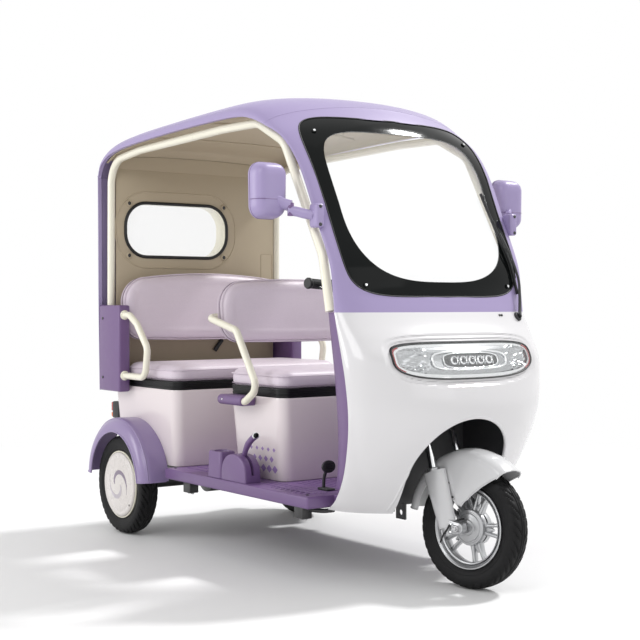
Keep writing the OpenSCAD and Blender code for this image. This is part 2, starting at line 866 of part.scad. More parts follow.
module wiper() {
    color(black) from_front_axle() {
        difference() {
            translate([340, 170, 905]) rotate([90, 0, 0]) cylinder(d = 26, h = 56);
            panel([for (row = nose_rows) if (row[1] > 860) row], [-panel_gap, -panel_gap], [60, 60]);
        }
        bent_tube([[340, 121, 905], [352, 138, 960], [404, 262, 1290]], 12, 11, sides = 8, steps = 2);
    }
}

module console() {
    color(plum) from_front_axle()
        difference() {
            translate([-424, 745, floor_z + panel_gap]) cube([74, 270, 100]);
            translate([-387, 965, floor_z + 20]) cylinder(d = 60, h = 100);
        }
}
module brake_lever() {
    color(black) from_front_axle()
        rod([-387, 800, floor_z + 108.8], [-387, 730, floor_z + 172.8], 22);
}
module brake_pedal() {
    color(black) from_front_axle() {
        translate([-292, 424, floor_z + 0.3]) cube([34, 60, 8]);
        rod([-275, 470, floor_z + 6], [-275, 446, floor_z + 84], 12);
        translate([-303, 436, floor_z + 62]) cube([56, 10, 44]);
    }
}

fork_leg = fork_gap / 2;
crown_s = 370;
// The fork's legs stand behind the axle, which hangs in a lug in front of each of them
leg_set = 20;
leg_d = 38;
module fork() {
    color(silver) turned_front() {
        on_steering_axis() translate([0, 0, crown_s]) cylinder(d = 33, h = 730 - crown_s);
        on_steering_axis()
            translate([-fork_leg - 20, leg_set - 44, crown_s]) cube([fork_gap + 40, 66, 14]);
        difference() {
            both_sides() {
                on_steering_axis() translate([-fork_leg, leg_set, -24]) cylinder(d = leg_d, h = 224);
                translate([-fork_leg - 15, 0, wheel_r]) rotate([90, 0, 90])
                    linear_extrude(30) {
                        circle(20);
                        polygon([[0, -20], [head_offset + 10, -24], [head_offset + 28, 30], [0, 20]]);
                    }
            }
            translate([-fork_gap, 0, wheel_r]) rotate([0, 90, 0]) cylinder(d = axle_d + 0.6, h = 2 * fork_gap);
        }
    }
}
module stanchions() {
    color(silver) turned_front() both_sides()
        on_steering_axis()
            translate([-fork_leg, leg_set, 200.3]) cylinder(d = stanchion_d, h = crown_s - 200.6);
}
module front_axle() {
    color(black) turned_front()
        translate([-fork_leg - 30, 0, wheel_r]) rotate([0, 90, 0]) cylinder(d = axle_d, h = fork_gap + 60);
}
guard_half = fork_gap / 2 - leg_d / 2 - panel_gap;
// Front mudguard, in stations and heights from the axle: middle of its crown, its inner radius,
// and the angles of its rear and front ends
guard_mid = [5, 18];
guard_inner_r = wheel_r + 35;
guard_ends = [6, 130.5];
guard_t = 5;
module front_mudguard() {
    far = 600;
    color(nose_white) turned_front()
        translate([0, 0, wheel_r]) rotate([90, 0, 90]) {
            translate([0, 0, -guard_half])
                linear_extrude(2 * guard_half)
                    difference() {
                        translate(guard_mid) circle(guard_inner_r + guard_t);
                        translate(guard_mid) circle(guard_inner_r);
                        translate(guard_mid)
                            polygon([[0, 0], far * [cos(guard_ends[0]), sin(guard_ends[0])],
                                [far, -far], [-far, -far],
                                far * [cos(guard_ends[1]), sin(guard_ends[1])]]);
                    }
            for (x = [-guard_half, guard_half - guard_t])
                translate([0, 0, x])
                    linear_extrude(guard_t)
                        intersection() {
                            translate(guard_mid) circle(guard_inner_r + guard_t / 2);
                            polygon([[-155, 205], [-106, 167], [-48, 127], [-15, 98], [12, 72],
                                [42, 46], [80, 62], [118, 160], [150, 280], [-155, 280]]);
                        }
        }
}
module handlebar() {
    clamp_z = 952;
    clamp_y = head_y(clamp_z);
    color(black) turned_front() {
        bent_tube([[-bar_half_w + 130, bar_y, bar_z], [-bar_half_w + 170, bar_y, bar_z],
            [-150, bar_y - 20, bar_z], [-70, clamp_y, clamp_z], [70, clamp_y, clamp_z],
            [150, bar_y - 20, bar_z], [bar_half_w - 170, bar_y, bar_z],
            [bar_half_w - 130, bar_y, bar_z]], 34, 24);
        on_steering_axis() translate([0, 0, 730.3]) cylinder(d = 34, h = 80);
    }
}
module grips() {
    color(black) turned_front() both_sides()
        rod([-bar_half_w, bar_y, bar_z], [-bar_half_w + 129.6, bar_y, bar_z], 34);
}

module tyre() {
    half = tyre_w / 2;
    right = [for (row = TYRE) [row[1], row[0] * half]];
    rotate([0, 90, 0])
        rotate_extrude()
            polygon(concat(right, [for (i = [len(right) - 2 : -1 : 0]) [right[i].x, -right[i].y]]));
}
flange_x = tyre_w / 2 * 0.72 + 6.4;
module rim_barrel() {
    seat_r = rim_d / 2 - 11;
    half = tyre_w / 2 * 0.72;
    rotate([0, 90, 0])
        difference() {
            union() {
                cylinder(r = seat_r, h = 2 * half + 12, center = true);
                for (s = [-1, 1])
                    translate([0, 0, s * (half + 3.4)]) cylinder(r = rim_d / 2, h = 6, center = true);
            }
            cylinder(r = seat_r - 8, h = 200, center = true);
        }
}
module front_rim() {
    color(silver) turned_front() translate([0, 0, wheel_r])
        difference() {
            union() {
                rim_barrel();
                rotate([0, 90, 0]) cylinder(d = front_hub_d, h = 76, center = true);
                for (i = [0 : spoke_pairs - 1], s = [-1, 1])
                    rotate([360 * i / spoke_pairs, 0, 0])
                        translate([-9, s * 16 - 7, front_hub_d / 2 - 6])
                            cube([18, 14, rim_d / 2 - front_hub_d / 2 - 10]);
            }
            rotate([0, 90, 0]) cylinder(d = axle_d + 0.8, h = 200, center = true);
        }
}
module front_tyre() {
    color(black) turned_front() translate([0, 0, wheel_r]) tyre();
}
module rear_rim() {
    difference() {
        union() {
            rim_barrel();
            rotate([0, -90, 0]) {
                cylinder(r = rim_d / 2 - 12, h = 36);
                translate([0, 0, flange_x]) cylinder(r = rim_d / 2 - 4, h = 6);
                translate([0, 0, flange_x + 6])
                    cylinder(r1 = rim_d / 2 - 4, r2 = rim_d / 2 - 34, h = 10);
            }
        }
        rotate([0, 90, 0]) cylinder(d = axle_d + 0.8, h = 64, center = true);
    }
}
module rear_place() {
    from_front_axle() translate([-track / 2, wheelbase, wheel_r]) children();
}
module rear_rim_right() {
    color(ivory) rear_place() rear_rim();
}
module rear_tyre_right() {
    color(black) rear_place() tyre();
}
module rear_rim_left() {
    color(ivory) mirror([1, 0, 0]) rear_place() rear_rim();
}
module rear_tyre_left() {
    color(black) mirror([1, 0, 0]) rear_place() tyre();
}

frame();
floor();
front_shell();
arch_liner();
inner_fairing();
screen_surround();
windscreen();
windscreen_band();
roof();
roof_liner();
rear_wall();
rear_liner();
rear_window();
window_seal();
hoops();
rear_posts();
driver_seat_box();
driver_backrest();
driver_rails();
rail_brackets();
rear_seat_box();
rear_backrest();
rear_rails();
rear_mudguards();
rear_axle();
leaf_springs();
battery();
headlamp();
headlamp_lens();
tail_lamps();
mirrors();
mirror_glasses();
wiper();
console();
brake_lever();
brake_pedal();
fork();
stanchions();
front_mudguard();
handlebar();
grips();
front_axle();
front_rim();
front_tyre();
rear_rim_right();
rear_tyre_right();
rear_rim_left();
rear_tyre_left();
driver_pan();
driver_cushion();
rear_pan();
rear_cushion();
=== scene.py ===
# Looks of the covered electric tricycle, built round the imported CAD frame
import json
import math

import bmesh
import bpy
import numpy as np
from mathutils import Matrix, Vector
from mathutils.bvhtree import BVHTree


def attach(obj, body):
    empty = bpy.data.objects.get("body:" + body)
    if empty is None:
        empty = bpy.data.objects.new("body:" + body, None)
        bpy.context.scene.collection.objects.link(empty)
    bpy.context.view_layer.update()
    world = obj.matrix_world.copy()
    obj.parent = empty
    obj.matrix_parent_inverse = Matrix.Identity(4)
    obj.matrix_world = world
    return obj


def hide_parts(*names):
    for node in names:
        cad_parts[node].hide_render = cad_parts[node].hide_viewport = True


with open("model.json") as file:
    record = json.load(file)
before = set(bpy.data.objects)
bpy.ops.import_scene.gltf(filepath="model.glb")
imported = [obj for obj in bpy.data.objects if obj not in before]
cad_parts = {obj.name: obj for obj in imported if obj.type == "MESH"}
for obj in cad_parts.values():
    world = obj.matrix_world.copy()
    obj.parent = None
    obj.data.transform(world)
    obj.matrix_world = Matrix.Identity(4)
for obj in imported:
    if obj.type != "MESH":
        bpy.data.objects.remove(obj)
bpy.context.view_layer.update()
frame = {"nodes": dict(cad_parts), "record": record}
record = frame["record"]

# Lengths below are in millimetres and stations, as in part.scad: y is measured back from the front axle
AXLE_Y = -844.5
WHEEL_R = 203.0
RAKE = math.radians(21)
TURN = math.radians(10)
HEAD_OFFSET = 32.0
WHEELBASE = 1630.0


def to_row(points):
    p = np.asarray(points, float).reshape(-1, 3).copy()
    p[:, 1] += AXLE_Y
    return p / 1000.0


def front_turn():
    """The parked turn of the steering, for points in metres in the row frame."""
    axis = Vector((0, math.sin(RAKE), math.cos(RAKE)))
    pivot = Vector((0, (AXLE_Y + HEAD_OFFSET) / 1000, WHEEL_R / 1000))
    return Matrix.Translation(pivot) @ Matrix.Rotation(TURN, 4, axis) @ Matrix.Translation(-pivot)


# ---------- Mesh helpers


def make(name, points, faces, mat=None, smooth=40):
    mesh = bpy.data.meshes.new(name)
    mesh.from_pydata([tuple(p) for p in to_row(points)], [], [tuple(f) for f in faces])
    obj = bpy.data.objects.new(name, mesh)
    bpy.context.scene.collection.objects.link(obj)
    tidy_mesh(obj, smooth)
    if mat is not None:
        mesh.materials.append(mat)
    return obj


def tidy_mesh(obj, smooth=40, weld=0.00002):
    bm = bmesh.new()
    bm.from_mesh(obj.data)
    bmesh.ops.remove_doubles(bm, verts=bm.verts, dist=weld)
    bmesh.ops.recalc_face_normals(bm, faces=bm.faces)
    for f in bm.faces:
        f.smooth = True
    limit = math.radians(smooth)
    for e in bm.edges:
        e.smooth = not (len(e.link_faces) == 2 and e.calc_face_angle(0) > limit)
    bm.to_mesh(obj.data)
    bm.free()


def apply_all(obj):
    """The object's mesh with its modifiers applied."""
    dep = bpy.context.evaluated_depsgraph_get()
    mesh = bpy.data.meshes.new_from_object(obj.evaluated_get(dep), preserve_all_data_layers=True, depsgraph=dep)
    old = obj.data
    obj.modifiers.clear()
    obj.data = mesh
    bpy.data.meshes.remove(old)


def cut(obj, cutter, how="DIFFERENCE", smooth=30):
    mod = obj.modifiers.new("cut", "BOOLEAN")
    mod.operation = how
    mod.solver = "EXACT"
    mod.object = cutter
    bpy.context.view_layer.update()
    apply_all(obj)
    bpy.data.objects.remove(cutter)
    tidy_mesh(obj, smooth)


def bevel(obj, width, segments=2, angle=35, smooth=40):
    mod = obj.modifiers.new("bevel", "BEVEL")
    mod.width = width / 1000
    mod.segments = segments
    mod.limit_method = "ANGLE"
    mod.angle_limit = math.radians(angle)
    mod.use_clamp_overlap = True
    apply_all(obj)
    tidy_mesh(obj, smooth)


def join(name, objs, mat=None):
    bm = bmesh.new()
    for o in objs:
        tmp = o.data.copy()
        tmp.transform(o.matrix_world)
        bm.from_mesh(tmp)
        bpy.data.meshes.remove(tmp)
    mesh = bpy.data.meshes.new(name)
    bm.to_mesh(mesh)
    bm.free()
    out = bpy.data.objects.new(name, mesh)
    bpy.context.scene.collection.objects.link(out)
    mats = [mat] if mat is not None else [m for m in objs[0].data.materials]
    for m in mats:
        mesh.materials.append(m)
    for o in objs:
        bpy.data.objects.remove(o)
    return out


def grid_faces(rows, cols, close_cols=False, close_rows=False):
    faces = []
    for i in range(rows if close_rows else rows - 1):
        for j in range(cols if close_cols else cols - 1):
            a, b = (i + 1) % rows, (j + 1) % cols
            faces.append((i * cols + j, i * cols + b, a * cols + b, a * cols + j))
    return faces


def loft(name, rings, mat=None, caps=True, smooth=40):
    """A closed skin through rings that have the same number of points."""
    rings = [np.asarray(r, float) for r in rings]
    n = len(rings[0])
    faces = grid_faces(len(rings), n, close_cols=True)
    if caps:
        faces.append(tuple(range(n)))
        faces.append(tuple((len(rings) - 1) * n + k for k in reversed(range(n))))
    return make(name, np.concatenate(rings), faces, mat, smooth)


def unit(v):
    v = np.asarray(v, float)
    return v / np.linalg.norm(v)


def frames_along(path, closed=False):
    path = np.asarray(path, float)
    m = len(path)
    if closed:
        tangents = np.roll(path, -1, 0) - np.roll(path, 1, 0)
    else:
        tangents = np.gradient(path, axis=0)
    tangents /= np.linalg.norm(tangents, axis=1)[:, None]
    side = np.array([1.0, 0, 0]) if abs(tangents[0][0]) < 0.9 else np.array([0, 0, 1.0])
    normals = []
    for t in tangents:
        side = unit(side - np.dot(side, t) * t)
        normals.append(side)
    normals = np.array(normals)
    if closed:
        t0 = tangents[0]
        end = unit(normals[-1] - np.dot(normals[-1], t0) * t0)
        twist = math.atan2(np.dot(np.cross(normals[0], end), t0), np.dot(normals[0], end))
        for i in range(m):
            a = -twist * i / m
            t, n = tangents[i], normals[i]
            normals[i] = n * math.cos(a) + np.cross(t, n) * math.sin(a)
    return tangents, normals


def sweep(name, path, radius, mat=None, sides=20, closed=False, caps=True, flat=1.0):
    path = np.asarray(path, float)
    t, n = frames_along(path, closed)
    radii = np.broadcast_to(np.asarray(radius, float), (len(path),))
    rings = []
    for i, p in enumerate(path):
        b = np.cross(t[i], n[i])
        a = np.linspace(0, 2 * math.pi, sides, endpoint=False)
        rings.append(p + radii[i] * (np.outer(np.cos(a), n[i]) + flat * np.outer(np.sin(a), b)))
    points = np.concatenate(rings)
    faces = grid_faces(len(path), sides, True, closed)
    if caps and not closed:
        faces.append(tuple(range(sides)))
        faces.append(tuple((len(path) - 1) * sides + k for k in reversed(range(sides))))
    return make(name, points, faces, mat)


def bent_path(points, bend, steps=10):
    points = [np.asarray(p, float) for p in points]
    out = [points[0]]
    for i in range(1, len(points) - 1):
        a = unit(points[i] - points[i - 1])
        b = unit(points[i + 1] - points[i])
        turn = math.acos(max(-1, min(1, float(a @ b))))
        if turn < 1e-4:
            out.append(points[i])
            continue
        nrm = unit(np.cross(a, b))
        away = -np.cross(nrm, a)
        start = points[i] - a * bend * math.tan(turn / 2)
        for k in range(steps + 1):
            s = turn * k / steps
            out.append(start - bend * away + bend * (away * math.cos(s) + a * math.sin(s)))
    out.append(points[-1])
    dense = [out[0]]
    for p in out[1:]:
        gap = np.linalg.norm(p - dense[-1])
        if gap < 0.5:
            continue
        count = max(1, int(gap // 60))
        last = dense[-1]
        for k in range(1, count + 1):
            dense.append(last + (p - last) * k / count)
    return np.array(dense)


def smooth_path(points, per=8, closed=False):
    p = [np.asarray(q, float) for q in points]
    n = len(p)
    out = []
    spans = n if closed else n - 1
    for i in range(spans):
        if closed:
            a, b, c, d = p[(i - 1) % n], p[i], p[(i + 1) % n], p[(i + 2) % n]
        else:
            a, b, c, d = p[max(i - 1, 0)], p[i], p[i + 1], p[min(i + 2, n - 1)]
        for k in range(per):
            t = k / per
            out.append(b + t * ((c - a) / 2 + t * ((2 * a - 5 * b + 4 * c - d) / 2 + t * (3 * b - a - 3 * c + d) / 2)))
    if not closed:
        out.append(p[-1])
    return np.array(out)


def revolve(name, profile, centre, axis="x", segments=96, mat=None, smooth=35, closed=True):
    """profile rows: radius, place along the axis."""
    rings = []
    for r, h in profile:
        a = np.linspace(0, 2 * math.pi, segments, endpoint=False)
        if axis == "x":
            ring = np.stack([np.full(segments, h), r * np.cos(a), r * np.sin(a)], 1)
        elif axis == "y":
            ring = np.stack([r * np.cos(a), np.full(segments, h), r * np.sin(a)], 1)
        else:
            ring = np.stack([r * np.cos(a), r * np.sin(a), np.full(segments, h)], 1)
        rings.append(ring + np.asarray(centre, float))
    faces = grid_faces(len(profile), segments, True, closed)
    return make(name, np.concatenate(rings), faces, mat, smooth)


def round_ring(half_x, half_y, r, centre, per=8):
    """A rounded rectangle in X and Y."""
    pts = []
    r = min(r, half_x - 0.01, half_y - 0.01)
    for cx, cy, a0 in ((1, 1, 0), (-1, 1, 90), (-1, -1, 180), (1, -1, 270)):
        for k in range(per + 1):
            a = math.radians(a0 + 90 * k / per)
            pts.append((cx * (half_x - r) + r * math.cos(a), cy * (half_y - r) + r * math.sin(a), 0))
    return np.array(pts) + np.asarray(centre, float)


def rounded_box(name, lo, hi, r, mat=None, segments=3):
    lo, hi = np.asarray(lo, float), np.asarray(hi, float)
    c = np.array([[x, y, z] for z in (lo[2], hi[2]) for y in (lo[1], hi[1]) for x in (lo[0], hi[0])])
    faces = [(0, 1, 3, 2), (4, 6, 7, 5), (0, 4, 5, 1), (2, 3, 7, 6), (0, 2, 6, 4), (1, 5, 7, 3)]
    obj = make(name, c, faces, mat)
    if r > 0:
        bevel(obj, r, segments)
    return obj


def extruded(name, outline, thick, place, mat=None, r=0, segments=2):
    """A flat outline of (u, v) pairs, thickened along w; place maps (u, v, w) to a point."""
    n = len(outline)
    pts = [place(u, v, w) for w in (0, thick) for u, v in outline]
    faces = [tuple(range(n)), tuple(reversed(range(n, 2 * n)))]
    faces += [(k, (k + 1) % n, n + (k + 1) % n, n + k) for k in range(n)]
    obj = make(name, pts, faces, mat)
    if r > 0:
        bevel(obj, r, segments, 30)
    return obj


def mirrored(obj, name):
    mesh = obj.data.copy()
    mesh.name = name
    mesh.transform(Matrix.Scale(-1, 4, (1, 0, 0)))
    mesh.flip_normals()
    out = bpy.data.objects.new(name, mesh)
    bpy.context.scene.collection.objects.link(out)
    return out


def copy_node(node, name=None):
    out = bpy.data.objects.new(name or node + "_skin", frame["nodes"][node].data.copy())
    out.data.materials.clear()
    bpy.context.scene.collection.objects.link(out)
    return out


def place(obj, body, slot, mat=None, replaces=()):
    if mat is not None:
        obj.data.materials.clear()
        obj.data.materials.append(mat)
    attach(obj, body)
    if replaces:
        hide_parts(*replaces)
    return obj


def dress(node, mat, width=1.5, segments=2, angle=35, smooth=40, body=None, slot=None):
    """The node's own shape with eased edges and smooth shading, standing for the node."""
    obj = copy_node(node)
    tidy_mesh(obj, smooth)
    if width:
        bmesh_dissolve(obj)
        bevel(obj, width, segments, angle, smooth)
    place(obj, body or BODY_OF[node], slot or SLOT_OF[node], mat, (node,))
    return obj


def bmesh_dissolve(obj):
    bm = bmesh.new()
    bm.from_mesh(obj.data)
    bmesh.ops.dissolve_limit(bm, angle_limit=math.radians(1.0), verts=bm.verts, edges=bm.edges)
    bm.to_mesh(obj.data)
    bm.free()


BODY_OF = {n: b for b, ns in record["behaviour"]["bodies"].items() for n in ns}
SLOT_OF = {s["node"]: s["material_slot"] for s in record["subparts"]}

# ---------- Materials


class Nodes:
    def __init__(self, name):
        self.mat = bpy.data.materials.new(name)
        self.mat.use_nodes = True
        self.tree = self.mat.node_tree
        self.tree.nodes.clear()
        self.out = self.tree.nodes.new("ShaderNodeOutputMaterial")
        self.bsdf = self.tree.nodes.new("ShaderNodeBsdfPrincipled")
        self.tree.links.new(self.bsdf.outputs[0], self.out.inputs[0])
        self.coord = self.tree.nodes.new("ShaderNodeTexCoord")

    def new(self, kind, **values):
        node = self.tree.nodes.new(kind)
        for key, value in values.items():
            if hasattr(node, key):
                setattr(node, key, value)
            else:
                node.inputs[key.replace("_", " ")].default_value = value
        return node

    def link(self, a, b):
        self.tree.links.new(a, b)

    def mapped(self, scale=(1, 1, 1), rot=(0, 0, 0), loc=(0, 0, 0)):
        m = self.new("ShaderNodeMapping")
        m.inputs["Scale"].default_value = scale
        m.inputs["Rotation"].default_value = rot
        m.inputs["Location"].default_value = loc
        self.link(self.coord.outputs["Object"], m.inputs[0])
        return m.outputs[0]

    def noise(self, scale, detail=4, rough=0.5, vec=None):
        n = self.new("ShaderNodeTexNoise")
        n.inputs["Scale"].default_value = scale
        n.inputs["Detail"].default_value = detail
        n.inputs["Roughness"].default_value = rough
        self.link(vec or self.coord.outputs["Object"], n.inputs["Vector"])
        return n.outputs["Fac"]

    def ramp(self, fac, stops):
        r = self.new("ShaderNodeValToRGB")
        while len(r.color_ramp.elements) < len(stops):
            r.color_ramp.elements.new(0.5)
        for e, (pos, col) in zip(r.color_ramp.elements, stops):
            e.position = pos
            e.color = tuple(col) + (1,) if len(col) == 3 else tuple(col)
        self.link(fac, r.inputs[0])
        return r.outputs[0]

    def span(self, fac, lo, hi):
        m = self.new("ShaderNodeMapRange")
        m.inputs["To Min"].default_value = lo
        m.inputs["To Max"].default_value = hi
        self.link(fac, m.inputs[0])
        return m.outputs[0]

    def math(self, op, a, b=None, clamp=False):
        m = self.new("ShaderNodeMath")
        m.operation = op
        m.use_clamp = clamp
        for k, v in ((0, a), (1, b)):
            if v is None:
                continue
            if isinstance(v, (int, float)):
                m.inputs[k].default_value = v
            else:
                self.link(v, m.inputs[k])
        return m.outputs[0]

    def mix(self, fac, a, b):
        m = self.new("ShaderNodeMix")
        m.data_type = "RGBA"
        for socket, v in ((m.inputs["Factor"], fac), (m.inputs[6], a), (m.inputs[7], b)):
            if hasattr(v, "default_value") or hasattr(v, "links"):
                self.link(v, socket)
            else:
                socket.default_value = v if isinstance(v, (int, float)) else tuple(v) + (1,)
        return m.outputs[2]

    def bump(self, height, strength, distance=0.001, normal=None):
        b = self.new("ShaderNodeBump")
        b.inputs["Strength"].default_value = strength
        b.inputs["Distance"].default_value = distance
        self.link(height, b.inputs["Height"])
        if normal is not None:
            self.link(normal, b.inputs["Normal"])
        return b.outputs[0]

    def set(self, **values):
        for key, value in values.items():
            self.bsdf.inputs[key.replace("_", " ")].default_value = value

    def to(self, socket, name):
        self.link(socket, self.bsdf.inputs[name])


def shade(colour, k):
    return tuple(max(0, min(1, c * k)) for c in colour[:3])


def finish_material(name, colour, rough, metal=0.0, coat=0.0, coat_rough=0.04, spread=0.05,
                    patch=3.0, grain=0.0, grain_scale=900, grain_depth=0.0003, rough_spread=0.08, ior=1.5):
    n = Nodes(name)
    tone = n.noise(patch, 5, 0.55)
    n.to(n.ramp(tone, [(0.3, shade(colour, 1 - spread)), (0.7, shade(colour, 1 + spread))]), "Base Color")
    n.to(n.span(n.noise(patch * 9, 6, 0.6), max(0.02, rough - rough_spread), rough + rough_spread), "Roughness")
    n.set(Metallic=metal, IOR=ior)
    if coat:
        n.set(Coat_Weight=coat, Coat_Roughness=coat_rough)
    if grain:
        n.to(n.bump(n.noise(grain_scale, 3, 0.6), grain, grain_depth), "Normal")
    return n.mat


def leather(name, colour):
    n = Nodes(name)
    tone = n.noise(5, 5, 0.6)
    base = n.ramp(tone, [(0.3, shade(colour, 0.94)), (0.7, shade(colour, 1.05))])
    cells = n.new("ShaderNodeTexVoronoi")
    cells.feature = "DISTANCE_TO_EDGE"
    cells.inputs["Scale"].default_value = 420
    n.link(n.coord.outputs["Object"], cells.inputs["Vector"])
    crease = n.math("MULTIPLY", cells.outputs["Distance"], 3.0, clamp=True)
    n.to(n.mix(crease, shade(colour, 0.88), base), "Base Color")
    n.to(n.span(n.noise(40, 4, 0.6), 0.36, 0.5), "Roughness")
    fine = n.bump(crease, 0.35, 0.00035)
    n.to(n.bump(n.noise(28, 4, 0.5), 0.12, 0.003, fine), "Normal")
    n.set(Sheen_Weight=0.12, Sheen_Roughness=0.4, Coat_Weight=0.08, Coat_Roughness=0.3)
    return n.mat


def tyre_rubber(name):
    n = Nodes(name)
    tone = n.noise(30, 6, 0.65)
    n.to(n.ramp(tone, [(0.3, (0.003, 0.003, 0.0035)), (0.75, (0.008, 0.008, 0.0085))]), "Base Color")
    n.to(n.span(n.noise(60, 4, 0.6), 0.45, 0.68), "Roughness")
    n.to(n.bump(n.noise(700, 3, 0.7), 0.25, 0.0004), "Normal")
    n.set(IOR=1.3)
    return n.mat


def glass(name, colour=(0.93, 0.96, 0.96), alpha=0.10, rough=0.02):
    n = Nodes(name)
    haze = n.noise(4, 4, 0.6)
    n.to(n.ramp(haze, [(0.3, shade(colour, 0.97)), (0.7, colour)]), "Base Color")
    n.to(n.span(n.noise(12, 3, 0.5), rough, rough + 0.03), "Roughness")
    n.set(Alpha=alpha, IOR=1.5, Coat_Weight=1.0, Coat_Roughness=0.02)
    n.mat.blend_method = "BLEND" if hasattr(n.mat, "blend_method") else "BLEND"
    return n.mat


def brushed(name, colour, rough=0.3, metal=1.0, stretch=(1, 60, 60), coat=0.0):
    n = Nodes(name)
    streak = n.noise(25, 5, 0.6, n.mapped(stretch))
    n.to(n.ramp(streak, [(0.3, shade(colour, 0.9)), (0.7, shade(colour, 1.05))]), "Base Color")
    n.to(n.span(streak, rough - 0.08, rough + 0.08), "Roughness")
    n.to(n.bump(streak, 0.05, 0.0003), "Normal")
    n.set(Metallic=metal)
    if coat:
        n.set(Coat_Weight=coat)
    return n.mat


M = {
    "lavender": finish_material("m_lavender", (0.325, 0.265, 0.465), 0.40, coat=0.15, coat_rough=0.16, spread=0.012, grain=0.05, grain_scale=220, grain_depth=0.0006),
    "plum": finish_material("m_plum", (0.145, 0.080, 0.205), 0.42, coat=0.2, coat_rough=0.2, spread=0.03, grain=0.12, grain_scale=700),
    "nose": finish_material("m_nose", (0.660, 0.650, 0.662), 0.24, coat=0.7, coat_rough=0.04, spread=0.004, rough_spread=0.012, grain=0.03, grain_scale=120, grain_depth=0.0008),
    "blush": finish_material("m_blush", (0.740, 0.665, 0.675), 0.28, coat=0.6, coat_rough=0.06, spread=0.004, rough_spread=0.012, grain=0.03, grain_scale=150, grain_depth=0.0006),
    "beige": finish_material("m_beige", (0.455, 0.385, 0.275), 0.62, spread=0.02, grain=0.35, grain_scale=1100, grain_depth=0.0004),
    "ivory": finish_material("m_ivory", (0.800, 0.770, 0.640), 0.3, coat=0.6, coat_rough=0.08, spread=0.02, grain=0.04, grain_scale=260),
    "black_gloss": finish_material("m_black_gloss", (0.004, 0.005, 0.005), 0.1, spread=0.2, rough_spread=0.03, ior=1.22),
    "black_plastic": finish_material("m_black_plastic", (0.014, 0.014, 0.016), 0.48, spread=0.15, grain=0.3, grain_scale=900),
    "black_steel": finish_material("m_black_steel", (0.012, 0.012, 0.013), 0.4, coat=0.3, coat_rough=0.25, spread=0.3, patch=12, grain=0.2, grain_scale=400),
    "seal": finish_material("m_seal", (0.008, 0.008, 0.009), 0.55, spread=0.2, grain=0.2, grain_scale=800),
    "silver": finish_material("m_silver", (0.470, 0.475, 0.485), 0.34, metal=0.85, coat=0.35, coat_rough=0.15, spread=0.05, patch=20, grain=0.08, grain_scale=900),
    "steel": brushed("m_steel", (0.50, 0.50, 0.51), 0.3),
    "chrome": finish_material("m_chrome", (0.80, 0.81, 0.82), 0.07, metal=1.0, spread=0.02, rough_spread=0.03),
    "red": finish_material("m_red", (0.42, 0.018, 0.015), 0.12, coat=1.0, spread=0.08),
    "amber": finish_material("m_amber", (0.75, 0.16, 0.03), 0.15, coat=1.0, spread=0.08),
    "mirror": finish_material("m_mirror", (0.86, 0.88, 0.90), 0.03, metal=1.0, spread=0.01, rough_spread=0.01),
    "leather": leather("m_leather", (0.700, 0.615, 0.695)),
    "guard": finish_material("m_guard", (0.590, 0.590, 0.600), 0.24, coat=0.8, coat_rough=0.05, spread=0.02, grain=0.03, grain_scale=150, grain_depth=0.0006),
    "hubcap": finish_material("m_hubcap", (0.620, 0.580, 0.555), 0.28, coat=0.7, coat_rough=0.06, spread=0.02, grain=0.03, grain_scale=180),
    "swirl": finish_material("m_swirl", (0.200, 0.160, 0.220), 0.35, coat=0.4, spread=0.06, grain=0.05, grain_scale=400),
    "lamp_silver": finish_material("m_lamp_silver", (0.44, 0.45, 0.46), 0.16, metal=1.0, spread=0.06, patch=14, rough_spread=0.05),
    "lamp_dark": finish_material("m_lamp_dark", (0.03, 0.03, 0.032), 0.3, metal=0.3, coat=0.5, spread=0.2, patch=20),
    "red_reflector": finish_material("m_red_reflector", (0.30, 0.012, 0.015), 0.2, coat=1.0, spread=0.15, patch=80),
    "pan_black": finish_material("m_pan_black", (0.004, 0.004, 0.0045), 0.4, spread=0.15, grain=0.2, grain_scale=900, ior=1.35),
    "leather_dark": leather("m_leather_dark", (0.230, 0.175, 0.235)),
    "lamp_eye": finish_material("m_lamp_eye", (0.03, 0.03, 0.035), 0.08, metal=0.1, coat=1.0, spread=0.2, patch=60),
    "swirl_pale": finish_material("m_swirl_pale", (0.42, 0.38, 0.42), 0.35, coat=0.4, spread=0.06, grain=0.05, grain_scale=400),
    "mauve": finish_material("m_mauve", (0.255, 0.190, 0.360), 0.34, coat=0.4, coat_rough=0.14, spread=0.03, grain=0.06, grain_scale=300, grain_depth=0.0005),
    "decal": finish_material("m_decal", (0.300, 0.200, 0.430), 0.4, spread=0.06),
    "tyre": tyre_rubber("m_tyre"),
    "glass": glass("m_glass"),
    "lens": glass("m_lens", alpha=0.07),
}

# ---------- Body surfaces from the same section tables as the CAD

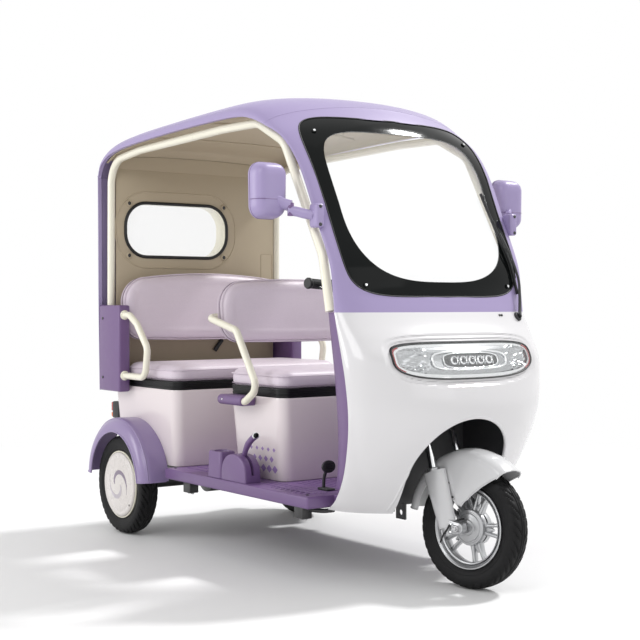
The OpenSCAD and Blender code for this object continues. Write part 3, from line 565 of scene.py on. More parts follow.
NOSE = [
    [350, 250, 345, 0, 256, 2.1], [284, 293, 360, 0, 200, 2.1], [210, 380, 384, 0, 148, 2.1],
    [158, 500, 406, 0, 154, 2.0], [138, 600, 420, 0, 160, 2.0], [144, 700, 427, 0, 156, 2.15],
    [160, 770, 428, 0, 164, 2.3], [178, 830, 427, 0, 138, 2.3], [192, 880, 427, 0, 112, 2.15],
    [205, 923, 426, 0, 96, 2.0]]
SCREEN = [
    [205, 923, 426, 0, 96, 2.0], [211, 1000, 428, 8, 70, 1.9], [228, 1095, 431, 14, 60, 1.8],
    [300, 1247, 436, 21, 58, 1.75], [386, 1421, 441, 27, 66, 1.7], [474, 1524, 449, 34, 90, 1.7],
    [577, 1578, 456, 44, 118, 1.8]]
ROOF = [
    [577, 1578, 456, 44, 118, 1.8], [650, 1606, 461, 62, 106, 2.2], [740, 1622, 464, 80, 88, 2.7],
    [900, 1624, 466, 88, 78, 3.0], [1200, 1617, 467, 90, 74, 3.0], [1525, 1602, 468, 92, 72, 3.0],
    [1710, 1582, 468, 106, 70, 2.8], [1806, 1544, 468, 136, 60, 2.6], [1838, 1490, 468, 166, 50, 2.4]]
REAR = [
    [1838, 1490, 468, 180, 44, 2.4], [1838, 1300, 467, 180, 42, 2.4], [1838, 950, 466, 180, 40, 2.4],
    [1838, 584, 462, 180, 36, 2.4]]


def ring(row, inset=0.0, sink=0.0, count=120):
    y, z, half, lean, bow, square = row
    a = np.linspace(-math.pi / 2, math.pi / 2, 721)
    p = 2 / square
    h = (bow - sink) * np.abs(np.cos(a)) ** p
    x = (half - inset) * np.sign(a) * np.abs(np.sin(a)) ** p
    lean = math.radians(lean)
    pts = np.stack([x, y - h * math.cos(lean), z + h * math.sin(lean)], 1)
    run = np.concatenate([[0], np.cumsum(np.linalg.norm(np.diff(pts, axis=0), axis=1))])
    at = np.linspace(0, run[-1], count)
    return np.stack([np.interp(at, run, pts[:, k]) for k in range(3)], 1)


def table(rows, per=8):
    return smooth_path(rows, per)


def skin_grid(rows, inset=0.0, sink=0.0, count=120, per=8):
    return np.array([ring(r, inset, sink, count) for r in table(rows, per)])


def sheet_of(name, rows, outer, inner, count=120, per=8, mat=None, shape=None):
    """A closed shell between two offsets of a section table; shape may move the outer points."""
    out = skin_grid(rows, *outer, count=count, per=per)
    inn = skin_grid(rows, *inner, count=count, per=per)
    if shape is not None:
        out = shape(out)
    n = 2 * count
    rings = [np.concatenate([o, i[::-1]]) for o, i in zip(out, inn)]
    faces = grid_faces(len(rings), n, close_cols=True)
    for e in (0, (len(rings) - 1) * n):
        faces += [(e + j, e + j + 1, e + n - 2 - j, e + n - 1 - j) for j in range(count - 1)]
    return make(name, np.concatenate(rings), faces, mat, 30)


def bvh_of(grids):
    pts, faces, base = [], [], 0
    for g in grids:
        r, c = g.shape[:2]
        pts.append(g.reshape(-1, 3))
        faces += [tuple(base + k for k in f) for f in grid_faces(r, c)]
        base += r * c
    return BVHTree.FromPolygons([Vector(p) for p in np.concatenate(pts)], faces)


def front_hit(bvh, x, z, sink=0.0):
    """The point of the front surface at x and z, moved in by sink, and its outward normal."""
    hit, normal, _, _ = bvh.ray_cast(Vector((x, -600, z)), Vector((0, 1, 0)))
    if hit is None:
        hit, normal, _, _ = bvh.find_nearest(Vector((x, 0, z)))
    if normal.y > 0:
        normal = -normal
    return np.array(hit - normal * sink), np.array(normal)


nose_bvh = bvh_of([skin_grid(NOSE)])
screen_bvh = bvh_of([skin_grid(SCREEN)])
front_bvh = bvh_of([skin_grid(NOSE), skin_grid(SCREEN), skin_grid(ROOF)])


def curve_xz(half, up, down, n_up, n_down, z, steps=128, spread=0.0):
    pts = []
    for i in range(steps):
        a = 2 * math.pi * i / steps
        s, c = math.sin(a), math.cos(a)
        n = n_up if s >= 0 else n_down
        zz = up * s ** (2 / n) if s >= 0 else -down * (-s) ** (2 / n)
        w = half * (1 + (spread * zz / up if zz > 0 else 0))
        pts.append((w * math.copysign(abs(c) ** (2 / n), c), z + zz))
    return np.array(pts)


def prism(name, outline, y0, y1):
    n = len(outline)
    pts = [(u, y, v) for y in (y0, y1) for u, v in outline]
    faces = [tuple(range(n)), tuple(reversed(range(n, 2 * n)))]
    faces += [(k, (k + 1) % n, n + (k + 1) % n, n + k) for k in range(n)]
    return make(name, pts, faces)


LAMP_Z = 775
LAMP_HALF, LAMP_UP, LAMP_DOWN = 312, 52, 72
SCREEN_Z = 1290
ARCH_HALF, ARCH_TOP, ARCH_SPRING, ARCH_FLARE = 213, 571, 385, 30


def lamp_outline(grow, wide=0, steps=128):
    return curve_xz(LAMP_HALF + grow + wide, LAMP_UP + grow, LAMP_DOWN + grow, 4.5, 3, LAMP_Z, steps)


def screen_outline(shrink, steps=160):
    return curve_xz(394 - shrink, 318 - shrink, 314 - shrink, 7, 6, SCREEN_Z, steps, 0.045)


def clear_outline(grow, steps=160):
    return curve_xz(344 + grow, 268 + grow, 264 + grow, 5, 3, SCREEN_Z, steps, 0.038)


def arch_outline(grow=0, low=0):
    pts = [(ARCH_HALF + grow + ARCH_FLARE, low)]
    for a in np.linspace(0, math.pi, 49):
        pts.append(((ARCH_HALF + grow) * math.cos(a), ARCH_SPRING + (ARCH_TOP - ARCH_SPRING + grow) * math.sin(a)))
    pts.append((-ARCH_HALF - grow - ARCH_FLARE, low))
    return np.array(pts)


def super_level(x, z, grow, wide):
    """Under 1 inside the headlamp's outline, grown by so much."""
    half, up, down = LAMP_HALF + grow + wide, LAMP_UP + grow, LAMP_DOWN + grow
    s = z - LAMP_Z
    n = np.where(s >= 0, 4.5, 3.0)
    v = np.where(s >= 0, s / up, -s / down)
    return (np.abs(x / half) ** n + np.abs(v) ** n) ** (1 / n)


def smoothstep(v, lo, hi):
    t = np.clip((v - lo) / (hi - lo), 0, 1)
    return t * t * (3 - 2 * t)


def lamp_recess(grid):
    flat = grid.reshape(-1, 3).copy()
    x, z = flat[:, 0], flat[:, 2]
    outer = 1 - smoothstep(super_level(x, z, 24, 4), 0.965, 1.0)
    inner = 1 - smoothstep(super_level(x, z, 12, 2), 0.975, 1.0)
    normals = np.gradient(grid, axis=1)
    across = np.gradient(grid, axis=0)
    nrm = np.cross(normals, across).reshape(-1, 3)
    nrm /= np.linalg.norm(nrm, axis=1)[:, None] + 1e-9
    nrm *= -np.sign(nrm[:, 1:2] + 1e-9)
    depth = 4.5 * outer + 4.0 * inner
    return (flat - nrm * depth[:, None]).reshape(grid.shape)


front_shell = sheet_of("front_shell_skin", NOSE, (0, 0), (16, 12), count=220, per=16, shape=lamp_recess)
cut(front_shell, prism("cut", arch_outline(), -300, 420))
cut(front_shell, prism("cut", lamp_outline(0), -300, 160))
place(front_shell, "body", "white_nose", M["nose"], ("front_shell",))


def on_front(outline, bvh, sink=0.0):
    return np.array([front_hit(bvh, x, z, sink)[0] for x, z in outline])


arch_edge = [p for p in arch_outline(1.5, 262)]
dense = []
for a, b in zip(arch_edge[:-1], arch_edge[1:]):
    steps = max(1, int(np.hypot(*(np.array(b) - np.array(a))) // 8))
    dense += [np.array(a) + (np.array(b) - np.array(a)) * k / steps for k in range(steps)]
dense.append(np.array(arch_edge[-1]))
lip = sweep("arch_lip", on_front(dense, nose_bvh, 5), 7.0, sides=14)
place(lip, "body", "white_nose", M["nose"])

surround = sheet_of("screen_surround_skin", SCREEN, (0, 0), (16, 12), count=200, per=16)
cut(surround, prism("cut", screen_outline(0), -100, 640))
place(surround, "body", "lavender_panel", M["lavender"], ("screen_surround",))


def ring_patch(name, inner, outer, bvh, sink, thick, steps, mat):
    """A curved sheet between two outlines of (x, z), laid on the front surface."""
    rows = []
    for k in range(steps + 1):
        t = k / steps
        rows.append(on_front(inner * (1 - t) + outer * t, bvh, sink))
    for k in range(steps, -1, -1):
        t = k / steps
        rows.append(on_front(inner * (1 - t) + outer * t, bvh, sink + thick))
    n = len(inner)
    faces = grid_faces(len(rows), n, close_cols=True, close_rows=True)
    return make(name, np.concatenate(rows), faces, mat, 40)


def disc_patch(name, outline, centre, bvh, sink, thick, steps, mat):
    c = np.asarray(centre, float)
    return ring_patch(name, c + (outline - c) * 0.004, outline, bvh, sink, thick, steps, mat)


band = ring_patch("windscreen_band_skin", clear_outline(0.2), screen_outline(0.6), screen_bvh, 1.2, 4.6, 10, M["black_gloss"])
place(band, "body", "black_band", M["black_gloss"], ("windscreen_band",))
pane = disc_patch("windscreen_skin", clear_outline(-0.2), (0, SCREEN_Z), screen_bvh, 1.4, 4.2, 24, M["glass"])
place(pane, "body", "clear_glass", M["glass"], ("windscreen",))

roof = sheet_of("roof_skin", ROOF, (0, 0), (16, 12), count=160, per=12)
roof.data.transform(Matrix.Translation((0, 0.0004, 0.0006)))
place(roof, "body", "lavender_panel", M["lavender"], ("roof",))

# ---------- Headlamp


def arc_patch(name, lo_deg, hi_deg, wide, sink, thick, mat, smooth=40):
    """A crescent along the lamp's edge, between two places round its outline."""
    a = np.radians(np.linspace(lo_deg, hi_deg, 22))

    def edge(grow):
        s, c = np.sin(a), np.cos(a)
        half, up, down = LAMP_HALF + grow, LAMP_UP + grow, LAMP_DOWN + grow
        n = np.where(s >= 0, 4.5, 3.0)
        z = np.where(s >= 0, up * np.abs(s) ** (2 / n), -down * np.abs(s) ** (2 / n))
        return np.stack([half * np.sign(c) * np.abs(c) ** (2 / n), LAMP_Z + z], 1)

    rows = []
    for k in range(5):
        rows.append(on_front(edge(-1.5) * (1 - k / 4) + edge(-1.5 - wide) * (k / 4), nose_bvh, sink))
    for k in range(4, -1, -1):
        rows.append(on_front(edge(-1.5) * (1 - k / 4) + edge(-1.5 - wide) * (k / 4), nose_bvh, sink + thick))
    n = len(a)
    faces = grid_faces(len(rows), n, close_rows=True)
    faces.append(tuple(r * n for r in range(len(rows))))
    faces.append(tuple(r * n + n - 1 for r in reversed(range(len(rows)))))
    return make(name, np.concatenate(rows), faces, mat, smooth)


def lamp_part(obj, slot="lamp_chrome", mat=None, replaces=()):
    return place(obj, "body", slot, mat, replaces)


wall = ring_patch("headlamp_wall", lamp_outline(-14), lamp_outline(-0.6), nose_bvh, 7, 4, 4, M["chrome"])
lamp_part(wall)
bowl_grid = []
for k in range(26):
    t = 0.004 + 0.996 * k / 25
    o = lamp_outline(-13, steps=192)
    c = np.array([0, LAMP_Z])
    flat = c + (o - c) * t
    x, z = flat[:, 0], flat[:, 1]
    bead = 1.5 * np.abs(np.sin(x / 5.2 + z / 9.0)) * np.abs(np.sin(x / 9.0 - z / 5.2))
    zone = smoothstep(np.abs(x), 178, 206) * (1 - smoothstep(np.abs(x), 282, 296))
    depth = 17 - 3.5 * bead * zone
    shelf = smoothstep(z, LAMP_Z + 17, LAMP_Z + 27)
    depth = depth - 9 * shelf
    bowl_grid.append(np.array([front_hit(nose_bvh, px, pz, d)[0] for px, pz, d in zip(x, z, depth)]))
back_grid = [np.array([front_hit(nose_bvh, px, pz, 26)[0] for px, pz in (c + (o - c) * t)]) for t in (1.0, 0.5, 0.004)]
rows = bowl_grid + back_grid
bowl = make("headlamp_bowl", np.concatenate(rows), grid_faces(len(rows), 192, True, True), M["chrome"], 24)
lamp_part(bowl, "lamp_chrome", M["lamp_silver"], ("headlamp",))
for side, at in (("left", 0), ("right", 180)):
    lamp_part(arc_patch("headlamp_reflector_" + side, at - 34, at + 34, 6, 5, 10, M["red"]), "tail_red", M["red_reflector"])


def capsule(half, tall, z=-8, steps=96):
    return curve_xz(half, tall, tall, 3.6, 3.6, LAMP_Z + z, steps)


rim_line = capsule(166, 33)
lamp_part(sweep("headlamp_capsule_rim", on_front(rim_line, nose_bvh, 12), 4.2, sides=14, closed=True), "lamp_chrome", M["chrome"])
lamp_part(disc_patch("headlamp_capsule_floor", capsule(164, 31), (0, LAMP_Z - 8), nose_bvh, 15, 3, 8, M["chrome"]), "lamp_chrome", M["lamp_silver"])
lamp_part(sweep("headlamp_window_rim", on_front(capsule(122, 27), nose_bvh, 11), 2.4, sides=12, closed=True), "lamp_chrome", M["chrome"])
lamp_part(disc_patch("headlamp_window_floor", capsule(121, 26), (0, LAMP_Z - 8), nose_bvh, 13.5, 2, 6, M["black_gloss"]), "lamp_chrome", M["lamp_dark"])
for i, x in enumerate((-78, -39, 0, 39, 78)):
    at, out = front_hit(nose_bvh, x, LAMP_Z - 8, 12)
    turn = Vector(out).to_track_quat("Z", "Y").to_matrix()
    cup = [(16, 0), (15, 4), (12.5, 7), (11, 5), (9, 1.5), (0.2, 0.8), (0.2, -3), (16, -3)]
    eye = [(8.2, 0.5), (7.6, 4.0), (5.2, 6.8), (2.2, 8.2), (0.2, 8.5), (0.2, 0)]
    for tag, profile, key in (("cup", cup, "chrome"), ("eye", eye, "lamp_eye")):
        obj = revolve("headlamp_%s_%d" % (tag, i + 1), profile, (0, -AXLE_Y, 0), "z", 32)
        obj.data.transform(Matrix.Translation(Vector(to_row(at)[0])) @ turn.to_4x4())
        lamp_part(obj, "lamp_chrome", M[key])
    for j, dz in enumerate((-19, 19)):
        at, out = front_hit(nose_bvh, x + 19, LAMP_Z - 8 + dz * 0.55, 12)
        fin = rounded_box("headlamp_fin_%d_%d" % (i + 1, j + 1), at + [-2, -3, -5], at + [2, 2, 5], 0.8, M["chrome"])
        lamp_part(fin, "lamp_chrome", M["chrome"])
lamp_part(disc_patch("headlamp_lens_skin", lamp_outline(-0.8), (0, LAMP_Z), nose_bvh, 2.5, 2.6, 14, M["lens"]), "lamp_lens", M["lens"], ("headlamp_lens",))
# Black rubber seal round the lamp, made thicker and pushed out so that its black also stands as a painted shadow line
# along the lamp's edge
lamp_part(sweep("headlamp_seal_and_shadow_line", on_front(lamp_outline(-0.5), nose_bvh, 4.6), 3.2, sides=8, closed=True), "black_rubber", M["seal"])

# ---------- Windscreen trim, wiper and nozzle

place(sweep("windscreen_seal", on_front(screen_outline(-0.6), screen_bvh, 0.6), 2.6, sides=10, closed=True), "body", "black_rubber", M["seal"])


def on_surface(obj, at, out):
    turn = Vector(out).to_track_quat("Z", "Y").to_matrix().to_4x4()
    obj.data.transform(Matrix.Translation(Vector(to_row(at)[0])) @ turn)
    return obj


def round_cap(name, r, h, at, out, mat, slot, body="body", lift=0.0):
    profile = [(r, -4), (r, h * 0.55), (r * 0.82, h * 0.92), (r * 0.5, h), (0.2, h), (0.2, -4)]
    obj = revolve(name, profile, (0, -AXLE_Y, 0), "z", 28)
    on_surface(obj, np.asarray(at) + np.asarray(out) * lift, out)
    return place(obj, body, slot, mat)


for i, (x, z) in enumerate(((-345, 1548), (345, 1548), (-322, 1014), (322, 1014))):
    at, out = front_hit(screen_bvh, x, z)
    round_cap("windscreen_stud_%d" % (i + 1), 8.5, 4, at, out, M["black_gloss"], "black_band")
    round_cap("windscreen_stud_cap_%d" % (i + 1), 5, 3, at, out, M["chrome"], "black_band", lift=3.5)
for i, x in enumerate((234, 246)):
    at, out = front_hit(nose_bvh, x, 911)
    round_cap("washer_nozzle_%d" % (i + 1), 4.5, 4, at, out, M["black_plastic"], "black_plastic")

at, out = front_hit(nose_bvh, 340, 905)
base = np.array(at)
out = np.array(out)
round_cap("wiper_boss", 17, 9, base, out, M["black_plastic"], "black_plastic")
round_cap("wiper_cap", 11, 16, base, out, M["black_gloss"], "black_plastic")
arm_pts = [base + out * 12]
for x, z, lift in ((352, 935, 16), (366, 980, 17), (372, 1040, 18), (352, 1120, 20), (335, 1200, 18)):
    q, m = front_hit(front_bvh, x, z)
    arm_pts.append(q + m * lift)
arm = sweep("wiper_arm", smooth_path(arm_pts, 8), np.linspace(7.5, 4.0, 41), sides=12, flat=0.6)
place(arm, "body", "black_plastic", M["black_plastic"], ("wiper",))
blade = []
for z in np.linspace(985, 1352, 24):
    x = 371 + (315 - 371) * (z - 985) / (1352 - 985)
    q, m = front_hit(screen_bvh, x, z)
    blade.append(q + m * 6.5)
place(sweep("wiper_blade", blade, 4.6, sides=8, flat=1.3), "body", "black_plastic", M["black_plastic"])
place(sweep("wiper_rubber", [np.array(b) - front_hit(screen_bvh, b[0], b[2])[1] * 4.5 for b in blade], 1.6, sides=6), "body", "black_rubber", M["seal"])
for i in range(4):
    k = 3 + i * 6
    a, b = np.array(blade[k]), np.array(blade[k + 2])
    out_k = front_hit(screen_bvh, blade[k][0], blade[k][2])[1]
    place(sweep("wiper_bridge_%d" % (i + 1), smooth_path([a, (a + b) / 2 + out_k * 7, b], 4), 2.6, sides=8), "body", "black_plastic", M["black_plastic"])

# ---------- Hoops and rails


def tube(name, points, bend, r, mat_key, slot, body="body", replaces=(), flute=0.0, steps=12, sides=28):
    path = bent_path(points, bend, steps)
    obj = sweep(name, path, r, sides=sides)
    return place(obj, body, slot, M[mat_key], replaces)


HOOP = [[1806, 946.4], [1800, 1556], [1540, 1582], [900, 1598], [660, 1594], [496, 1512], [270, 1112], [230, 926.8]]
for side, s in (("right", -1), ("left", 1)):
    pts = [(s * 424, y, z) for y, z in HOOP]
    tube("hoop_" + side, pts, 110, 16, "ivory", "ivory_tube", replaces=("hoops",) if s < 0 else ())
    path = bent_path(pts, 110, 12)
    for tag, dx, dz in (("in", -s * 11.5, 11.5), ("out", s * 11.5, 11.5)):
        line = path + np.array([dx, 0, 0])
        place(sweep("hoop_%s_bead_%s" % (side, tag), line[3:-3], 5.2, sides=10), "body", "ivory_tube", M["ivory"])
DRIVER_RAIL = [[-250, 1111.8, 900], [-362, 1111.8, 900], [-362, 905, 852], [-362, 760, 640], [-362, 845, 588], [-362, 900, 588]]
REAR_RAIL = [[-441, 1649.6, 905], [-441, 1605, 905], [-441, 1540, 868], [-441, 1450, 770], [-441, 1470, 652], [-441, 1649.6, 652]]
rail = [[p[0], p[1], p[2]] for p in DRIVER_RAIL]
whole = rail[::-1][:-1] + [[-x, y, z] for x, y, z in rail[1:]]
tube("driver_rail_tube", whole, 40, 14, "ivory", "ivory_tube", replaces=("driver_rails",))
for side, s in (("right", 1), ("left", -1)):
    tube("rear_rail_" + side, [[s * p[0], p[1], p[2]] for p in REAR_RAIL], 45, 14, "ivory", "ivory_tube", replaces=("rear_rails",) if s > 0 else ())
    for tag, z in (("top", 905), ("low", 652)):
        profile = [(20, 0), (20, 3), (17, 6), (14.2, 7), (13, 7), (13, 0)]
        place(revolve("rear_rail_flange_%s_%s" % (side, tag), [(r, 1649.4 - h) for r, h in profile], (s * -441, 0, z), "y", 36), "body", "ivory_tube", M["ivory"])
    end = revolve("driver_rail_plug_" + side, [(14.4, 899), (14.4, 906), (11, 910), (0.2, 911), (0.2, 899)], (s * -362, 0, 588), "y", 32)
    place(end, "body", "black_plastic", M["black_plastic"])

# ---------- Wheels and tyres


def at_front(obj, body="front_wheel"):
    """Turns a piece made for a straight front wheel to where it is parked."""
    obj.data.transform(front_turn())
    return obj


def tyre_piece(name, centre, body, node, flip=1):
    """A tyre with slanting grooves pressed into its tread. Rows run round the wheel."""
    rim_r, half = 138.0, 40.0
    outline = [(0.70, rim_r - 10), (0.72, rim_r + 1), (0.80, rim_r + 6), (0.90, rim_r + 13), (0.97, rim_r + 24), (1.0, rim_r + 36),
               (0.985, rim_r + 46), (0.95, WHEEL_R - 13), (0.90, WHEEL_R - 9), (0.82, WHEEL_R - 6), (0.72, WHEEL_R - 4),
               (0.62, WHEEL_R - 2.8), (0.52, WHEEL_R - 1.9), (0.42, WHEEL_R - 1.2), (0.32, WHEEL_R - 0.7), (0.22, WHEEL_R - 0.3),
               (0.12, WHEEL_R - 0.1), (0.04, WHEEL_R)]
    side = [(a * half, r) for a, r in outline]
    profile = np.array(side + [(-a, r) for a, r in reversed(side)])
    inner = np.array([(-28, rim_r - 10.3), (28, rim_r - 10.3)])
    count = 400
    rings = []
    for k in range(count):
        t = 2 * math.pi * k / count
        pts = profile.copy()
        w = np.abs(pts[:, 0]) / half
        pitch = 40
        phase = (k * pitch / count) + np.sign(pts[:, 0]) * 0.25 + (w ** 1.1) * 1.9 * flip
        wave = np.abs(((phase + 0.5) % 1.0) - 0.5)
        groove = 1 - smoothstep(wave, 0.10, 0.20)
        zone = smoothstep(w, 0.10, 0.2) * (1 - smoothstep(w, 0.93, 0.975)) * (pts[:, 1] > rim_r + 42)
        short = np.where((np.floor(k * pitch / count + w * 1.9).astype(int) % 2) == 0, 1.0, smoothstep(w, 0.35, 0.5))
        ringing = 1 - smoothstep(np.abs(w - 0.12), 0.02, 0.05)
        depth = np.maximum(4.6 * groove * zone * short, 3.6 * ringing)
        pts[:, 1] -= depth
        pts = np.concatenate([pts, inner])
        rings.append(np.stack([pts[:, 0], -pts[:, 1] * math.sin(t), pts[:, 1] * math.cos(t)], 1) + np.asarray(centre, float))
    n = len(rings[0])
    obj = make(name, np.concatenate(rings), grid_faces(count, n, True, True), M["tyre"], 38)
    for i, (r, x) in enumerate(((rim_r + 20, 38.2), (rim_r + 8, 33.6))):
        pass
    return obj


FRONT_C = (0, 0, WHEEL_R)
tyre = at_front(tyre_piece("front_tyre_skin", FRONT_C, "front_wheel", "front_tyre"))
place(tyre, "front_wheel", "tyre", M["tyre"], ("front_tyre",))
for i, s in enumerate((-1, 1)):
    for j, (r, x) in enumerate(((176, 40.2), (158, 38.6))):
        bead = at_front(revolve("front_tyre_bead_%d_%d" % (i + 1, j + 1), [(r - 1.6, s * (x - 1.2)), (r, s * x), (r + 1.6, s * (x - 1.2)), (r, s * (x - 2.4))], FRONT_C, "x", 120))
        place(bead, "front_wheel", "tyre", M["tyre"])

rim_profile = [(138, 29.2), (138.6, 31), (138.6, 34), (137.4, 35.2), (134.5, 35.2), (132.5, 33.6), (130, 31.5), (126.5, 28), (124, 22), (121, 17),
               (119.2, 10), (119.2, -10), (121, -17), (124, -22), (126.5, -28), (130, -31.5), (132.5, -33.6), (134.5, -35.2), (137.4, -35.2),
               (138.6, -34), (138.6, -31), (138, -29.2), (129, -28.8), (127, -24), (127, 24), (129, 28.8)]
rim = at_front(revolve("front_rim_barrel", rim_profile, FRONT_C, "x", 144))
place(rim, "front_wheel", "silver_alloy", M["silver"], ("front_rim",))
bead = at_front(revolve("front_rim_step", [(121.5, -26), (117, -24), (114.5, -19), (116, -15), (121.5, -14)], FRONT_C, "x", 144))
place(bead, "front_wheel", "silver_alloy", M["silver"])
for s, tag in ((-1, "right"), (1, "left")):
    hub_profile = [(60, s * 4), (60, s * 23), (58, s * 26), (52, s * 27), (50.5, s * 25.5), (47, s * 26), (45, s * 29.5), (30, s * 32), (26, s * 32.5),
                   (24, s * 36), (17, s * 37.5), (16, s * 41), (14.6, s * 41), (14.6, s * 43), (16, s * 43), (16, s * 45), (14.6, s * 45), (14.6, s * 47),
                   (16, s * 47), (16, s * 49), (12.4, s * 50), (8, s * 50), (8, s * 4)]
    hub = at_front(revolve("front_hub_" + tag, hub_profile, FRONT_C, "x", 96))
    place(hub, "front_wheel", "silver_alloy", M["silver"])
for i in range(5):
    a0 = 2 * math.pi * i / 5 + 0.32
    for j, s in enumerate((-1, 1)):
        rows = []
        for k in range(15):
            t = k / 14
            r = 54 + (122.5 - 54) * t
            spread = s * (13 + 4.5 * t + 5 * t * t)
            width = 8.8 - 2.6 * math.sin(math.pi * t) + 5 * max(0, t - 0.8) * 5 * 0.3
            tall = 15 - 5.5 * t
            ang = a0 + math.atan2(spread, r)
            c = np.array([0, -math.sin(ang), math.cos(ang)])
            side = np.array([0, -math.cos(ang), -math.sin(ang)])
            ring_pts = []
            for m in range(16):
                b = 2 * math.pi * m / 16
                cs, sn = math.cos(b), math.sin(b)
                u = math.copysign(abs(cs) ** 0.62, cs) * width
                v = math.copysign(abs(sn) ** 0.62, sn) * tall
                ring_pts.append(np.asarray(FRONT_C, float) + c * r / math.cos(math.atan2(spread, r)) + side * u + np.array([v, 0, 0]))
            rows.append(ring_pts)
        spoke = at_front(loft("front_spoke_%d_%d" % (i + 1, j + 1), rows, M["silver"], True, 50))
        place(spoke, "front_wheel", "silver_alloy", M["silver"])
    rows = []
    for k in range(7):
        t = k / 6
        r = 56 + 30 * t
        w = 15 * (1 - 0.75 * t)
        tall = 8.5 * (1 - 0.5 * t)
        c = np.array([0, -math.sin(a0), math.cos(a0)])
        side = np.array([0, -math.cos(a0), -math.sin(a0)])
        rows.append([np.asarray(FRONT_C, float) + c * r + side * w * math.cos(b) + np.array([tall * math.sin(b), 0, 0]) for b in np.linspace(0, 2 * math.pi, 14, endpoint=False)])
    web = at_front(loft("front_spoke_web_%d" % (i + 1), rows, M["silver"], True, 50))
    place(web, "front_wheel", "silver_alloy", M["silver"])

# ---------- Fork, axle and front mudguard


def fork_point(x, s, y=20.0):
    """A place along a fork leg, in stations, before the parked turn."""
    return np.array([x, HEAD_OFFSET + y * math.cos(RAKE) + s * math.sin(RAKE), WHEEL_R - y * math.sin(RAKE) + s * math.cos(RAKE)])


for tag, sx in (("right", -1), ("left", 1)):
    leg = [(-26, 12), (-25, 17), (-22, 19), (40, 19), (60, 19), (64, 18.2), (190, 18.2), (196, 20.5), (206, 20.5), (209, 17), (209.4, 13.8)]
    line = [fork_point(sx * 74, s) for s, _ in leg]
    obj = at_front(sweep("fork_leg_" + tag, line, [r for _, r in leg], sides=40))
    place(obj, "steering", "silver_alloy", M["silver"], ("fork",) if sx < 0 else ())
    stan = at_front(sweep("fork_stanchion_" + tag, [fork_point(sx * 74, s) for s in (203, 260, 371)], 13.5, sides=36))
    place(stan, "steering", "chrome", M["chrome"], ("stanchions",) if sx < 0 else ())
    outline = []
    for a in np.linspace(110, 250, 11):
        outline.append((20 * math.cos(math.radians(a)), 20 * math.sin(math.radians(a))))
    outline += [(HEAD_OFFSET + 8, -24), (HEAD_OFFSET + 26, 28)]
    lug = extruded("fork_lug_" + tag, outline, 30, lambda u, v, w, sx=sx: (sx * 59 + sx * w, u, WHEEL_R + v), M["silver"], 3.0, 3)
    place(at_front(lug), "steering", "silver_alloy", M["silver"])
    for j, (u, v) in enumerate(((24, 13), (24, -13))):
        bolt = revolve("fork_bolt_%s_%d" % (tag, j + 1), [(5.5, sx * 88), (5.5, sx * 93), (4.2, sx * 94.5), (0.2, sx * 94.5), (0.2, sx * 88)], (0, u, WHEEL_R + v), "x", 6, smooth=20)
        place(at_front(bolt), "steering", "chrome", M["chrome"])
    nut = revolve("front_axle_nut_" + tag, [(16, sx * 89), (16, sx * 91.5), (13, sx * 92), (13, sx * 101), (11, sx * 103), (7.6, sx * 103), (7.6, sx * 108), (5.5, sx * 109.5), (0.2, sx * 109.5), (0.2, sx * 89)], FRONT_C, "x", 6, smooth=20)
    place(at_front(nut), "steering", "chrome", M["steel"])
    spacer = revolve("front_axle_spacer_" + tag, [(12, sx * 50.5), (12, sx * 59), (7.3, sx * 59), (7.3, sx * 50.5)], FRONT_C, "x", 40)
    place(at_front(spacer), "steering", "black_steel", M["black_steel"])
axle = revolve("front_axle_skin", [(7, -104), (7, 104), (0.2, 104), (0.2, -104)], FRONT_C, "x", 32)
place(at_front(axle), "steering", "black_steel", M["steel"], ("front_axle",))


def crown_block(name, s, x_half, y0, y1, tall, r, mat, slot):
    pts = []
    for z in (0, tall):
        for y in (y0, y1):
            for x in (-x_half, x_half):
                pts.append(fork_point(x, s + z, y))
    faces = [(0, 1, 3, 2), (4, 6, 7, 5), (0, 4, 5, 1), (2, 3, 7, 6), (0, 2, 6, 4), (1, 5, 7, 3)]
    obj = make(name, pts, faces, mat)
    bevel(obj, r, 4)
    return place(at_front(obj), "steering", slot, mat)


crown_block("fork_crown", 369, 95, -24, 42, 16, 7, M["silver"], "silver_alloy")
stem = at_front(sweep("fork_stem", [fork_point(0, s, 0) for s in (370, 500, 729)], 16.5, sides=36))
place(stem, "steering", "silver_alloy", M["silver"])

GUARD_C = np.array([5.0, 18.0])
GUARD_R = 241.0


def guard_low(theta):
    """How far the guard's side comes down, as a distance from its middle."""
    deg = np.degrees(theta)
    at = [6, 36, 46, 56, 66, 83, 104, 116, 124, 128, 130.5]
    low = [196, 192, 150, 96, 62, 54, 83, 121, 166, 196, 216]
    return np.interp(deg, at, low)


def guard_skin(name, offset):
    rows = []
    for theta in np.radians(np.linspace(6, 130.5, 84)):
        low = guard_low(theta)
        top = GUARD_R + offset
        c = np.array([math.cos(theta), math.sin(theta)])
        w = 61.0 + offset
        shoulder = 34.0 + offset
        crown = 5.0
        flank = [(-w + 3.0 * (1 - k / 10) ** 2, low + (top - shoulder - low) * k / 10) for k in range(10)]
        bend = [(-w + shoulder * (1 - math.cos(a)), top - shoulder + shoulder * math.sin(a)) for a in np.linspace(0, math.pi / 2 * 0.92, 10)]
        x_end, r_end = bend[-1]
        cap = [(x_end * (1 - k / 8), r_end + (top + crown - r_end) * math.sin(math.pi / 2 * k / 8)) for k in range(1, 9)]
        half = flank + bend + cap
        full = half + [(-x, r) for x, r in reversed(half[:-1])]
        rows.append([(x, GUARD_C[0] + c[0] * r, WHEEL_R + GUARD_C[1] + c[1] * r) for x, r in full])
    return np.array(rows)


